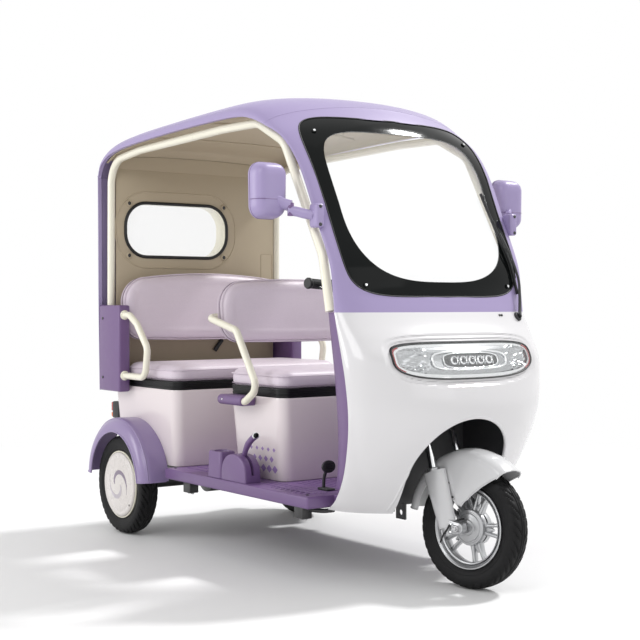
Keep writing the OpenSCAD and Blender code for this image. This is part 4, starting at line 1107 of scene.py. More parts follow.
outer, inner = guard_skin("o", 0.0), guard_skin("i", -3.4)
m, n = outer.shape[:2]
rings = [np.concatenate([o, i[::-1]]) for o, i in zip(outer, inner)]
faces = grid_faces(m, 2 * n, close_cols=True)
for e in (0, (m - 1) * 2 * n):
    faces += [(e + j, e + j + 1, e + 2 * n - 2 - j, e + 2 * n - 1 - j) for j in range(n - 1)]
guard = make("front_mudguard_skin", np.concatenate(rings), faces, M["guard"], 40)
place(at_front(guard), "steering", "white_nose", M["guard"], ("front_mudguard",))
for tag, cols in (("edge", None),):
    low_line = np.concatenate([outer[:, 0], outer[-1, 1:-1], outer[::-1, -1], outer[0, 1:-1][::-1]])
    place(at_front(sweep("front_mudguard_lip", low_line, 2.6, sides=8, closed=True)), "steering", "white_nose", M["guard"])

for tag, sx in (("right", -1), ("left", 1)):
    rows = []
    for s in np.linspace(4, 196, 30):
        mid = fork_point(sx * 74, s, 20)
        t = (s - 4) / 192
        depth = 27 + 4 * t
        wide = 35 + 10 * t
        pts = []
        for a in np.linspace(-math.pi / 2, math.pi / 2, 26):
            u = wide * math.sin(a)
            v = depth * abs(math.cos(a)) ** 0.75
            pts.append(mid + np.array([sx * (v - 8), 0, 0]) + u * np.array([0, math.cos(RAKE), -math.sin(RAKE)]))
        for a in np.linspace(math.pi / 2, -math.pi / 2, 26):
            u = (wide - 3) * math.sin(a)
            v = (depth - 3) * abs(math.cos(a)) ** 0.75
            pts.append(mid + np.array([sx * (v - 8), 0, 0]) + u * np.array([0, math.cos(RAKE), -math.sin(RAKE)]))
        rows.append(pts)
    shroud = at_front(loft("fork_shroud_" + tag, rows, M["guard"], True, 40))
    place(shroud, "steering", "white_nose", M["guard"])
    for j, (y, z) in enumerate(((66, 143), (46, 98))):
        cup = revolve("guard_bolt_%s_%d" % (tag, j + 1), [(7.5, sx * 60.5), (7.5, sx * 62.4), (5.8, sx * 63), (5.4, sx * 61.6), (0.2, sx * 61.6), (0.2, sx * 60.5)], (0, y, WHEEL_R + z), "x", 28)
        place(at_front(cup), "steering", "white_nose", M["guard"])
        head = revolve("guard_screw_%s_%d" % (tag, j + 1), [(4.6, sx * 61), (4.6, sx * 63), (3, sx * 63.8), (0.2, sx * 63.8), (0.2, sx * 61)], (0, y, WHEEL_R + z), "x", 20)
        place(at_front(head), "steering", "black_steel", M["black_steel"])
cable = [(-96, 62, 150), (-99, 50, 175), (-96, 36, 196), (-88, 30, 214), (-60, 22, 226), (-40, 10, 232)]
place(at_front(sweep("brake_cable", smooth_path(cable, 8), 3.2, sides=10)), "steering", "black_rubber", M["seal"])

# ---------- Rear wheels and mudguards

for tag, sx in (("right", -1), ("left", 1)):
    body = "rear_wheel_" + tag
    centre = (sx * 438, WHEELBASE, WHEEL_R)
    tyre = tyre_piece("rear_tyre_skin_" + tag, centre, body, "", -sx)
    place(tyre, body, "tyre", M["tyre"], ("rear_tyre_" + tag,))
    for j, (r, x) in enumerate(((176, 40.2), (158, 38.6))):
        bead = revolve("rear_tyre_bead_%s_%d" % (tag, j + 1), [(r - 1.6, sx * (x - 1.2)), (r, sx * x), (r + 1.6, sx * (x - 1.2)), (r, sx * (x - 2.4))], centre, "x", 120)
        place(bead, body, "tyre", M["tyre"])
    rim = revolve("rear_rim_" + tag + "_barrel", rim_profile, centre, "x", 128)
    place(rim, body, "ivory_disc", M["ivory"], ("rear_rim_" + tag,))
    cap_profile = [(0.2, 47.5), (30, 47.2), (60, 45.6), (88, 43.0), (108, 41.6), (112, 41.0), (115, 41.8), (122, 42.6), (129, 41.4), (132.5, 38.5), (133.5, 36), (132, 33), (0.2, 33)]
    cap = revolve("rear_hubcap_" + tag, [(r, sx * h) for r, h in cap_profile], centre, "x", 128)
    place(cap, body, "ivory_disc", M["hubcap"])
    back = revolve("rear_rim_" + tag + "_disc", [(121, sx * -6), (119, sx * -9), (70, sx * -14), (62, sx * -22), (30, sx * -24), (30, sx * -2), (121, sx * 2)], centre, "x", 96)
    place(back, body, "black_steel", M["black_steel"])
    drum = revolve("rear_drum_" + tag, [(8, sx * -62), (72, sx * -62), (80, sx * -56), (80, sx * -26), (8, sx * -26)], centre, "x", 72)
    place(drum, "body", "black_steel", M["black_steel"])
    for a in (0.5,):
        valve = sweep("rear_valve_" + tag, [(sx * (438 + 36), WHEELBASE - 96, WHEEL_R - 78), (sx * (438 + 44), WHEELBASE - 92, WHEEL_R - 75)], 4.0, sides=14)
        place(valve, body, "black_rubber", M["seal"])
    for swirl in range(2):
        start = swirl * math.pi
        rows = []
        for k in range(56):
            t = k / 55
            r = 26 + 54 * t
            a = start + 3.6 * t
            w = 9.5 * math.sin(math.pi * min(1, t * 1.02 + 0.06)) ** 0.7 + 0.4
            lift = float(np.interp(r, [0, 30, 60, 88, 108], [47.5, 47.2, 45.6, 43.0, 41.6]))
            mid = np.array([0, r * math.cos(a), r * math.sin(a)])
            out_dir = mid / r
            pts = []
            for u, v in ((-1, -1.2), (-0.92, 0.35), (-0.45, 0.75), (0.45, 0.75), (0.92, 0.35), (1, -1.2)):
                rr = r + u * w
                h = float(np.interp(rr, [0, 30, 60, 88, 108], [47.5, 47.2, 45.6, 43.0, 41.6])) + v
                pts.append(np.asarray(centre, float) + out_dir * rr + np.array([sx * h, 0, 0]))
            rows.append(pts)
        sw = loft("rear_hubcap_%s_swirl_%d" % (tag, swirl + 1), rows, M["swirl"], True, 50)
        place(sw, body, "ivory_disc", M["swirl" if swirl == 0 else "swirl_pale"])

    rows_out, rows_in = [], []
    gc, gr = (WHEELBASE, 218.0), 262.0
    for deg in np.linspace(4.4, 175.6, 90):
        a = math.radians(deg)
        c = np.array([math.cos(a), math.sin(a)])
        for rows, off in ((rows_out, 0.0), (rows_in, -4.0)):
            x0, x1 = 388.0, 505.0 + off
            r = gr + off
            sh = 42.0 + off
            prof = [(x0, r - 3)]
            prof += [(x0 + (x1 - sh - x0) * k / 6, r - 3 + 3 * math.sin(math.pi / 2 * k / 6)) for k in range(1, 7)]
            prof += [(x1 - sh + sh * math.sin(b), r - sh + sh * math.cos(b)) for b in np.linspace(0.1, math.pi / 2, 10)]
            prof += [(x1, r - sh - 5), (x1, r - sh - 10), (x1 + 0.0, r - sh - 15)]
            rows.append([(sx * x, gc[0] + c[0] * q, gc[1] + c[1] * q) for x, q in prof])
    o, i = np.array(rows_out), np.array(rows_in)
    m, n = o.shape[:2]
    rings = [np.concatenate([p, q[::-1]]) for p, q in zip(o, i)]
    faces = grid_faces(m, 2 * n, close_cols=True)
    for e in (0, (m - 1) * 2 * n):
        faces += [(e + j, e + j + 1, e + 2 * n - 2 - j, e + 2 * n - 1 - j) for j in range(n - 1)]
    guard = make("rear_mudguard_" + tag, np.concatenate(rings), faces, M["mauve"], 40)
    place(guard, "body", "plum_panel", M["mauve"], ("rear_mudguards",) if sx < 0 else ())
    edge = np.concatenate([o[0, 1:], o[1:-1, -1], o[-1, 1:][::-1]])
    place(sweep("rear_mudguard_lip_" + tag, edge, 3.4, sides=10), "body", "plum_panel", M["mauve"])
    crease = o[:, 9] + np.array([sx * 1.0, 0, 0])
    place(sweep("rear_mudguard_bead_" + tag, crease[1:-1], 2.4, sides=8), "body", "plum_panel", M["mauve"])

# ---------- Seat boxes, pans and hinges

FLOOR_Z, RIM_Z, TAPER = 298.0, 607.0, 20.0
PAN_Z = RIM_Z + 0.4
DRIVER = dict(y=700.0, length=330.0, half=288.0, lid=330.0, hinge=1058.0)
REAR_SEAT = dict(y=1315.0, length=490.0, half=384.0, lid=380.0, hinge=1723.0)


def box_ring(seat, z, grow, r=44):
    t = TAPER * (z - FLOOR_Z) / (RIM_Z - FLOOR_Z)
    return round_ring(seat["half"] + t + grow, seat["length"] / 2 + t + grow, r + grow, (0, seat["y"] + seat["length"] / 2, z), 10)


def seat_box_skin(name, seat):
    rings = [box_ring(seat, 298.5, -5), box_ring(seat, 299.6, -1.6), box_ring(seat, 302.5, 0), box_ring(seat, 600, 0), box_ring(seat, 604.5, -0.4),
             box_ring(seat, 606.6, -1.6), box_ring(seat, 606.9, -3), box_ring(seat, 606.4, -5.2), box_ring(seat, 600, -6), box_ring(seat, 304.5, -6)]
    return loft(name, rings, M["blush"], True, 35)


def slab(name, half_x, half_y, r, centre, rows, mat):
    """rows: height, growth."""
    rings = [round_ring(half_x + g, half_y + g, r + g, (centre[0], centre[1], z), 10) for z, g in rows]
    return loft(name, rings, mat, True, 35)


def knuckle(name, x0, x1, y, body, slot, mat):
    obj = revolve(name, [(6, x0), (6, x1), (2.2, x1), (2.2, x0)], (0, y, PAN_Z), "x", 28)
    return place(obj, body, slot, mat)


for key, seat, lid_body in (("driver", DRIVER, "driver_lid"), ("rear", REAR_SEAT, "rear_lid")):
    place(seat_box_skin(key + "_seat_box_skin", seat), "body", "blush_box", M["blush"], (key + "_seat_box",))
    half_x, half_y = seat["half"] + TAPER, seat["lid"] / 2 + TAPER
    mid = (0, seat["y"] + seat["lid"] / 2)
    rows = [(607.4, -3), (608.4, -0.6), (612, 0), (616.5, 0), (617.5, -1.8), (621, -1.8), (622, 0), (634, 0), (638, -0.8), (639.2, -3)]
    place(slab(key + "_pan_skin", half_x, half_y, 46, mid, rows, M["pan_black"]), lid_body, "black_plastic", M["pan_black"], (key + "_pan",))
    rows = [(632.6, 0.4), (633.2, 2.2), (637.2, 2.6), (640.2, 1.6), (640.4, 0)]
    place(slab(key + "_pan_lip", half_x, half_y, 46, mid, rows, M["pan_black"]), lid_body, "black_plastic", M["pan_black"])
    yh = seat["hinge"]
    for tag, s in (("right", -1), ("left", 1)):
        knuckle(key + "_lid_barrel_" + tag, min(s * 100, s * 139.5), max(s * 100, s * 139.5), yh, lid_body, "black_plastic", M["black_steel"])
        tab = rounded_box(key + "_lid_leaf_" + tag, (min(s * 100, s * 139.5), yh - 14, PAN_Z + 0.4), (max(s * 100, s * 139.5), yh, PAN_Z + 5.6), 1, M["black_steel"], 2)
        place(tab, lid_body, "black_plastic", M["black_steel"])
        knuckle(key + "_box_barrel_" + tag, min(s * 140, s * 170), max(s * 140, s * 170), yh, "body", "blush_box", M["black_steel"])
        y0 = yh - 13 if key == "driver" else yh
        leaf = rounded_box(key + "_box_leaf_" + tag, (min(s * 140, s * 170), y0, RIM_Z - 9.6), (max(s * 140, s * 170), y0 + 13, RIM_Z - 0.4), 1, M["black_steel"], 2)
        place(leaf, "body", "blush_box", M["black_steel"])
shelf_ring = [p for p in round_ring(REAR_SEAT["half"] + TAPER - 1.5, REAR_SEAT["length"] / 2 + TAPER - 1.5, 58, (0, 1560, 0), 10)]
front_y = 1731.0
shelf_pts = [(max(-402.5, min(402.5, p[0])), p[1]) for p in shelf_ring if p[1] > front_y]
shelf_pts = [(402.5, front_y)] + shelf_pts + [(-402.5, front_y)]
shelf = extruded("rear_seat_shelf", shelf_pts, 9.6, lambda u, v, w: (u, v, 597.2 + w), M["blush"], 1.0, 2)
place(shelf, "body", "blush_box", M["blush"])

# ---------- Cushions and backrests


def inflate(obj, voxel, pressure, cap, frames=20):
    """Puffs a closed form with cloth, and keeps each point within cap of where it was."""
    remesh = obj.modifiers.new("remesh", "REMESH")
    remesh.mode = "VOXEL"
    remesh.voxel_size = voxel / 1000
    apply_all(obj)
    start = np.array([v.co[:] for v in obj.data.vertices])
    cloth = obj.modifiers.new("cloth", "CLOTH")
    cloth.settings.quality = 5
    cloth.settings.mass = 0.3
    cloth.settings.tension_stiffness = 15
    cloth.settings.compression_stiffness = 15
    cloth.settings.bending_stiffness = 1.2
    cloth.settings.use_pressure = True
    cloth.settings.uniform_pressure_force = pressure
    cloth.settings.effector_weights.gravity = 0
    cloth.collision_settings.use_self_collision = False
    scene_now = bpy.context.scene
    scene_now.frame_start, scene_now.frame_end = 1, frames
    cloth.point_cache.frame_start, cloth.point_cache.frame_end = 1, frames
    for f in range(1, frames + 1):
        scene_now.frame_set(f)
    dep = bpy.context.evaluated_depsgraph_get()
    puffed = obj.evaluated_get(dep).to_mesh()
    now = np.array([v.co[:] for v in puffed.vertices])
    obj.evaluated_get(dep).to_mesh_clear()
    obj.modifiers.clear()
    scene_now.frame_set(1)
    if len(now) == len(start):
        move = now - start
        size = np.linalg.norm(move, axis=1)[:, None] + 1e-9
        now = start + move * np.minimum(1, cap / 1000 / size)
        obj.data.vertices.foreach_set("co", now.ravel())
    smooth_mod = obj.modifiers.new("smooth", "SMOOTH")
    smooth_mod.factor, smooth_mod.iterations = 0.5, 4
    apply_all(obj)
    for p in obj.data.polygons:
        p.use_smooth = True


def cushion(name, key, seat, body):
    """A crowned seat cushion: a gusset that leans in, a soft shoulder and a crowned top."""
    hx, hy = seat["half"] + TAPER, seat["lid"] / 2 + TAPER
    cy = seat["y"] + seat["lid"] / 2
    z0 = 640.4
    rows = [(0, -9), (3, -3), (10, 0.5), (22, 2.6), (34, 3.0), (44, 1.4), (52, -3.5), (58, -10), (62, -20), (64.4, -36)]
    rings = [round_ring(hx + g, hy + g, 50 + g, (0, cy, z0 + z), 14) for z, g in rows]
    top = []
    for k in range(1, 13):
        t = k / 12.5
        g = -36 - t * (min(hx, hy) - 38)
        rx, ry = hx + g, hy + g
        rise = 64.4 + 1.9 * math.sin(t * math.pi / 2)
        top.append(round_ring(max(rx, 2), max(ry, 2), min(14 + 8 * (1 - t), max(ry, 2) * 0.96), (0, cy, z0 + rise), 14))
    obj = loft(name, rings + top, M["leather"], True, 60)
    inflate(obj, 6.5, 3.2, 3.0)
    place(obj, body, "lilac_leather", M["leather"], (key,))
    for tag, z, g in (("low", 9, 2.2), ("top", 46, 3.6)):
        line = round_ring(hx + g, hy + g, 50 + g, (0, cy, z0 + z), 14)
        keep = [line[0]]
        for p in line[1:]:
            if np.linalg.norm(p - keep[-1]) > 0.5:
                keep.append(p)
        dense_line = []
        for a, b in zip(keep, keep[1:] + keep[:1]):
            steps = max(1, int(np.linalg.norm(b - a) // 14))
            dense_line += [a + (b - a) * k / steps for k in range(steps)]
        if tag == "low":
            seam = sweep(name + "_seam_" + tag, dense_line, 1.7, sides=8, closed=True)
            place(seam, body, "lilac_leather", M["leather_dark"])
        else:
            seam = sweep(name + "_piping", dense_line, 2.2, sides=10, closed=True)
            place(seam, body, "lilac_leather", M["leather"])
    return obj


cushion("driver_cushion_skin", "driver_cushion", DRIVER, "driver_lid")
cushion("rear_cushion_skin", "rear_cushion", REAR_SEAT, "rear_lid")


def pad_outline(half, tall, grow, arch, r, steps=22):
    """Outline of a backrest, in x and height, its top edge arched and its lower corners rounded."""
    pts = []
    hw, hh = half + grow, tall / 2 + grow
    for cx, cz, a0 in ((1, 1, 0), (-1, 1, 90), (-1, -1, 180), (1, -1, 270)):
        rr = (r if cz > 0 else r * 0.85) + grow
        for k in range(steps + 1):
            a = math.radians(a0 + 90 * k / steps)
            pts.append([cx * (hw - rr) + rr * math.cos(a), cz * (hh - rr) + rr * math.sin(a)])
        if (cx, cz) in ((1, 1), (-1, -1)):
            x_from = cx * (hw - rr)
            for k in range(1, 20):
                pts.append([x_from * (1 - 2 * k / 20), cz * hh])
    pts = np.array(pts)
    bulge = arch * (1 - np.clip(np.abs(pts[:, 0]) / hw, 0, 1) ** 2)
    pts[:, 1] += np.where(pts[:, 1] > 0, bulge - arch, -0.25 * bulge + 0.25 * arch)
    return pts


def backrest(name, key, half, tall, thick, lean, y, z, arch, r):
    lean = math.radians(lean)

    def at(u, v, w):
        zz = tall / 2 + v
        return (u, y + zz * math.sin(lean) + w * math.cos(lean), z + zz * math.cos(lean) - w * math.sin(lean))

    rings = []
    prof = [(0.0, -40), (1.0, -26), (3.6, -15), (8.5, -7), (15, -2.6), (24, -0.5), (34, 0), (44, -1.2), (52, -4), (58, -9), (60.5, -14), (61.5, -22)]
    for k in range(12):
        t = k / 12
        g = -40 - (1 - t) * (tall / 2 - 48)
        o = pad_outline(half, tall, 0, arch, r)
        s = 1 + g / (tall / 2)
        c = o * np.array([(half + g) / half, s])
        rings.append([at(u, v, -0.0 - 2.2 * math.cos(t * math.pi / 2) + 2.2) for u, v in c])
    for w, g in prof:
        o = pad_outline(half, tall, 0, arch, r)
        c = o * np.array([(half + g) / half, (tall / 2 + g) / (tall / 2)])
        rings.append([at(u, v, w * thick / 62) for u, v in c])
    for k in range(1, 6):
        t = k / 6
        g = -22 - t * (tall / 2 - 26)
        o = pad_outline(half, tall, 0, arch, r)
        c = o * np.array([(half + g) / half, (tall / 2 + g) / (tall / 2)])
        rings.append([at(u, v, 61.7 * thick / 62) for u, v in c])
    obj = loft(name, rings, M["leather"], True, 60)
    inflate(obj, 6.0, 3.0, 2.5)
    place(obj, "body", "lilac_leather", M["leather"], (key,))
    for tag, w, g, rad, mat in (("front", 18, 0.2, 2.4, "leather"), ("back", 46, -0.4, 2.2, "leather"), ("mid", 31, 1.4, 1.5, "leather_dark")):
        o = pad_outline(half, tall, g, arch, r)
        line = [np.array(at(u, v, w * thick / 62)) for u, v in o]
        keep = [line[0]]
        for p in line[1:]:
            if np.linalg.norm(p - keep[-1]) > 2.0:
                keep.append(p)
        if np.linalg.norm(keep[0] - keep[-1]) < 2:
            keep.pop()
        place(sweep(name + "_piping_" + tag, keep, rad, sides=8, closed=True), "body", "lilac_leather", M[mat])
    return at


at_driver = backrest("driver_backrest_skin", "driver_backrest", 333, 245, 62, 6, 1024, 806, 16, 92)
at_rear = backrest("rear_backrest_skin", "rear_backrest", 412, 286, 62, 5, 1676, 800, 34, 92)
for s, tag in ((-1, "right"), (1, "left")):
    place(rounded_box("driver_backrest_bracket_" + tag, (s * 200 - 25, 1093, 880), (s * 200 + 25, 1098.5, 925), 2, M["black_steel"]), "body", "black_steel", M["black_steel"])
    clamp = revolve("driver_backrest_clamp_" + tag, [(17.5, s * 200 - 16), (17.5, s * 200 + 16), (14.1, s * 200 + 16), (14.1, s * 200 - 16)], (0, 1111.8, 900), "x", 36)
    place(clamp, "body", "black_steel", M["black_steel"])

# ---------- Rail brackets, console, lever, pedal

for tag, sx in (("right", -1), ("left", 1)):
    pts = []
    for k in range(9):
        a = math.pi / 2 + math.pi * k / 8
        pts.append((-362 + 20 * math.cos(a) - 2, 590 + 20 * math.sin(a)))
    prof = [(-296, 573)] + [(-296, 609)] + [(-352, 611)] + [(p[0], min(max(p[1], 571), 611)) for p in pts] + [(-352, 571)]
    prof = [(-312, 572), (-312, 608)] + [(-364 + 19 * math.cos(a), 590 + 19 * math.sin(a)) for a in np.linspace(math.pi / 2, 1.5 * math.pi, 12)]
    arm = extruded("rail_bracket_" + tag, prof, 160, lambda u, v, w, sx=sx: (-sx * u if sx > 0 else u, 850 + w, v), M["plum"], 5, 3)
    place(arm, "body", "plum_panel", M["plum"], ("rail_brackets",) if sx < 0 else ())
    dot = revolve("rail_bracket_screw_" + tag, [(4, 0), (3.4, 1.6), (0.2, 2.2), (0.2, -2), (4, -2)], (0, -AXLE_Y, 0), "z", 20)
    on_surface(dot, np.array([sx * 383.2, 972, 592]), np.array([sx * 1.0, 0, 0.05]))
    place(dot, "body", "black_steel", M["chrome"])

cz = FLOOR_Z + 0.4
cup_block = []
for z, g in ((0, -2), (1.5, 0), (94, -2.5), (99, -4.5), (100, -7)):
    cup_block.append(round_ring(37 + g, 48 + g, 12, (-387, 967, cz + z), 8))
cup = loft("console_cup_block", cup_block, M["plum"], True, 35)
well = loft("cut", [round_ring(r, r, r, (-387, 965, cz + z), 10) for z, r in ((19.6, 29.5), (60, 30), (96, 30.5), (101, 33), (106, 36))], None, True, 35)
cut(cup, well)
place(cup, "body", "plum_panel", M["plum"], ("console",))
arc = np.linspace(math.pi, 0, 33)[1:-1]
outline = [(751, 0)] + [(835 + 84 * math.cos(a), 100 * math.sin(a) ** 0.6) for a in arc] + [(919, 0)]
rings = []
for x, s in ((-422, 0.93), (-421, 0.965), (-418.5, 0.99), (-415, 1.0), (-359, 1.0), (-355.5, 0.99), (-353, 0.965), (-352, 0.93)):
    rings.append([(x, 835 + (u - 835) * s, cz + 0.3 + v * s) for u, v in outline])
shell = loft("console_housing", rings, M["plum"], True, 35)
slot_cut = rounded_box("cut", (-394, 700, cz + 26), (-380, 838, cz + 130), 3, None, 2)
cut(shell, slot_cut)
place(shell, "body", "plum_panel", M["plum"])
lever_pts = [(-387, 822, cz + 70), (-387, 806, cz + 108), (-387, 786, cz + 138), (-387, 762, cz + 158), (-387, 738, cz + 172)]
lever = sweep("brake_lever_grip", smooth_path(lever_pts, 8), np.interp(np.arange(33), [0, 10, 16, 32], [9, 10.5, 12.5, 12.5]), sides=24, flat=0.9)
place(lever, "body", "black_plastic", M["plum"], ("brake_lever",))
tip = smooth_path(lever_pts, 8)
place(sweep("brake_lever_collar", [tip[-1], tip[-1] + unit(tip[-1] - tip[-3]) * 7], 13.0, sides=24), "body", "chrome", M["chrome"])
place(sweep("brake_lever_button", [tip[-1] + unit(tip[-1] - tip[-3]) * k for k in (6, 10, 14, 16)], [9, 9, 7.5, 3], sides=20), "body", "black_plastic", M["black_gloss"])

pedal = rounded_box("brake_pedal_foot", (-292, 424, FLOOR_Z + 0.3), (-258, 484, FLOOR_Z + 8.3), 2, M["black_plastic"])
place(pedal, "body", "black_plastic", M["black_plastic"], ("brake_pedal",))
place(sweep("brake_pedal_arm", smooth_path([(-275, 470, FLOOR_Z + 6), (-275, 466, FLOOR_Z + 44), (-275, 446, FLOOR_Z + 84)], 6), 6, sides=16), "body", "black_plastic", M["black_steel"])
plate = loft("brake_pedal_plate", [[(-275 + 28 * math.cos(a) * s, 436 + w, FLOOR_Z + 84 + 22 * math.sin(a) * s) for a in np.linspace(0, 2 * math.pi, 36, endpoint=False)] for w, s in ((0, 0.9), (1.5, 1), (8.5, 1), (10, 0.94))], M["black_plastic"], True, 40)
place(plate, "body", "black_plastic", M["black_plastic"])
for k in range(4):
    place(rounded_box("brake_pedal_rib_%d" % (k + 1), (-292, 434.2, FLOOR_Z + 70 + 8 * k), (-258, 436.6, FLOOR_Z + 73.5 + 8 * k), 0.8, M["seal"], 2), "body", "black_plastic", M["seal"])

# ---------- Floor

floor_main = rounded_box("floor_skin", (-430, 352, 256), (430, 1330, 298), 7, M["plum"], 4)
inner_cut = rounded_box("cut", (-422, 360, 200), (422, 1400, 289), 0, None)
cut(floor_main, inner_cut)
place(floor_main, "body", "plum_panel", M["plum"], ("floor",))
tongue = rounded_box("floor_tongue", (-318, 301, 257), (318, 354, 297.6), 2, M["plum"], 2)
place(tongue, "body", "plum_panel", M["plum"])


def floor_rib(name, x0, x1, y0, y1, tall=2.6):
    r = min(x1 - x0, y1 - y0) / 2 - 0.2
    rings = [round_ring((x1 - x0) / 2 + g, (y1 - y0) / 2 + g, r + g, ((x0 + x1) / 2, (y0 + y1) / 2, FLOOR_Z + z), 5) for z, g in ((-1, 0), (tall - 1.2, 0), (tall, -1.4))]
    place(loft(name, rings, M["plum"], True, 30), "body", "plum_panel", M["plum"])


for i, x in enumerate(np.arange(-250, 251, 25)):
    floor_rib("floor_rib_front_%d" % (i + 1), x - 6, x + 6, 400, 668)
for i, x in enumerate(np.arange(-345, 346, 46)):
    floor_rib("floor_rib_rear_%d" % (i + 1), x - 9, x + 9, 1074, 1292)
for s, tag in ((-1, "right"), (1, "left")):
    for i, x in enumerate((305, 330, 355)):
        floor_rib("floor_rib_side_%s_%d" % (tag, i + 1), min(s * x, s * (x + 10)), max(s * x, s * (x + 10)), 400, 742 if s < 0 else 1290)
    for i, y in enumerate((392, 1296)):
        round_cap("floor_screw_%s_%d" % (tag, i + 1), 6, 2, (s * 400, y, FLOOR_Z), (0, 0, 1), M["black_steel"], "black_steel")
    for i, y in enumerate(np.arange(420, 660, 30)):
        pts = [(s * 372, y, FLOOR_Z + 0.6), (s * 396, y - 10, FLOOR_Z + 0.6)]
        place(sweep("floor_dash_%s_%d" % (tag, i + 1), pts, 2.4, sides=8, flat=0.8), "body", "plum_panel", M["plum"])

# ---------- Rear wall, window and linings

WIN = np.array([-105.0, 1272.0])


def window_ring(grow, steps=10):
    return [(WIN[0] + p[0], WIN[1] + p[1]) for p in round_ring(250 + grow, 112 + grow, 96 + grow, (0, 0, 0), steps)]


def dense_loop(points, step=12):
    out = []
    for a, b in zip(points, points[1:] + points[:1]):
        a, b = np.array(a, float), np.array(b, float)
        n = max(1, int(np.linalg.norm(b - a) // step))
        out += [a + (b - a) * k / n for k in range(n)]
    keep = [out[0]]
    for p in out[1:]:
        if np.linalg.norm(p - keep[-1]) > 1.0:
            keep.append(p)
    return keep


wall = sheet_of("rear_wall_skin", REAR, (0, 0), (16, 12), count=160, per=10)
cut(wall, prism("cut", window_ring(12), 1700, 1950))
place(wall, "body", "lavender_panel", M["lavender"], ("rear_wall",))
liner = rounded_box("rear_liner_skin", (-404, 1796, 607.4), (404, 1804, 1528), 1.5, M["beige"], 2)
cut(liner, prism("cut", window_ring(12), 1700, 1950))
place(liner, "body", "beige_liner", M["beige"], ("rear_liner",))
seal = sweep("window_seal_skin", dense_loop([(x, 1795, z) for x, z in window_ring(4.5)]), 7.0, sides=14, closed=True)
place(seal, "body", "black_rubber", M["seal"], ("window_seal",))
frame_seal = ring_patch("window_tunnel", np.array(window_ring(1)), np.array(window_ring(11.4)), bvh_of([np.array([[(-600.0, 1796.5, 900.0), (600.0, 1796.5, 900.0)], [(-600.0, 1796.5, 1700.0), (600.0, 1796.5, 1700.0)]])]), 0, 82, 1, M["ivory"])
place(frame_seal, "body", "ivory_tube", M["ivory"])
flat_wall = bvh_of([np.array([[(-600.0, 1816.0, 900.0), (600.0, 1816.0, 900.0)], [(-600.0, 1816.0, 1700.0), (600.0, 1816.0, 1700.0)]])])
pane = disc_patch("rear_window_skin", np.array(window_ring(0)), WIN, flat_wall, 0, 5, 2, M["glass"])
place(pane, "body", "clear_glass", M["glass"], ("rear_window",))
bead = sweep("rear_liner_bead", dense_loop([(x, 1796.4, z) for x, z in window_ring(52)]), 3.4, sides=8, closed=True)
place(bead, "body", "beige_liner", M["beige"])
for i, (x, z) in enumerate(((-105 - 238, 1272 + 112), (-105 + 238, 1272 + 112), (-105 - 238, 1272 - 112), (-105 + 238, 1272 - 112))):
    cap = revolve("window_knob_%d" % (i + 1), [(14, 0), (14, -4), (11.5, -6.5), (8.5, -7), (8.5, -2.5), (0.2, -2.5), (0.2, 0)], (x, 1795.6, z), "y", 32)
    place(cap, "body", "beige_liner", M["beige"])
    dot = revolve("window_knob_pin_%d" % (i + 1), [(8, 0), (8, -1), (4.5, -1.5), (4, -5), (0.2, -5.5), (0.2, 0)], (x, 1793.2, z), "y", 24)
    place(dot, "body", "beige_liner", M["lamp_dark"])
smile = smooth_path([(-330, 1795.6, 700), (-318, 1795.6, 668), (-250, 1795.6, 652), (0, 1795.6, 648), (250, 1795.6, 652), (318, 1795.6, 668), (330, 1795.6, 700)], 8)
place(sweep("rear_liner_crease", smile, 3.0, sides=8), "body", "beige_liner", M["beige"])
place(sweep("rear_liner_tab", smooth_path([(84, 1789, 742), (100, 1788, 764), (122, 1789, 790)], 6), 10, sides=16, flat=0.6), "body", "black_plastic", M["black_plastic"])
hatch = dense_loop([(p[0] + 366, 1795.8, p[1] + 1120) for p in round_ring(30, 60, 8, (0, 0, 0), 4)])
place(sweep("rear_liner_hatch", hatch, 1.6, sides=6, closed=True), "body", "beige_liner", M["beige"])

CEILING = [list(r) for r in ROOF[1:7]] + [[1752, 1568, 468, 118, 66, 2.75], [1796, 1549, 468, 132, 61, 2.65]]
ceiling = sheet_of("roof_liner_skin", CEILING, (20, 14), (28, 22), count=120, per=10)
place(ceiling, "body", "beige_liner", M["beige"], ("roof_liner",))
ceiling_bvh = bvh_of([skin_grid(CEILING, 28, 22)])


def ceiling_at(x, y, drop=2.0):
    hit, _, _, _ = ceiling_bvh.ray_cast(Vector((x, y, 900)), Vector((0, 0, 1)))
    return None if hit is None else np.array([x, y, hit.z - drop])


def ceiling_line(name, a, b, r):
    pts = [ceiling_at(a[0] + (b[0] - a[0]) * t, a[1] + (b[1] - a[1]) * t) for t in np.linspace(0, 1, 20)]
    pts = [p for p in pts if p is not None]
    if len(pts) > 3:
        place(sweep(name, pts, r, sides=10), "body", "beige_liner", M["beige"])


ceiling_line("ceiling_rib_1", (-400, 1180), (400, 1180), 7)
ceiling_line("ceiling_rib_2", (-400, 1560), (400, 1560), 4)
for i, (a, b) in enumerate((((-330, 1160), (-120, 780)), ((330, 1160), (120, 780)), ((-120, 780), (120, 780)), ((-60, 1160), (-230, 900)), ((60, 1160), (230, 900)))):
    ceiling_line("ceiling_crease_%d" % (i + 1), a, b, 3.2)

top_edge = [ceiling_at(x, 1800, 1) for x in np.linspace(400, -400, 41)]
top_edge = [(x, 1540 if p is None else p[2]) for x, p in zip(np.linspace(400, -400, 41), top_edge)]
above = extruded("rear_liner_top", [(-400, 1500), (400, 1500)] + top_edge, 6, lambda u, v, w: (u, 1797 + w, v), M["beige"], 0)
place(above, "body", "beige_liner", M["beige"])

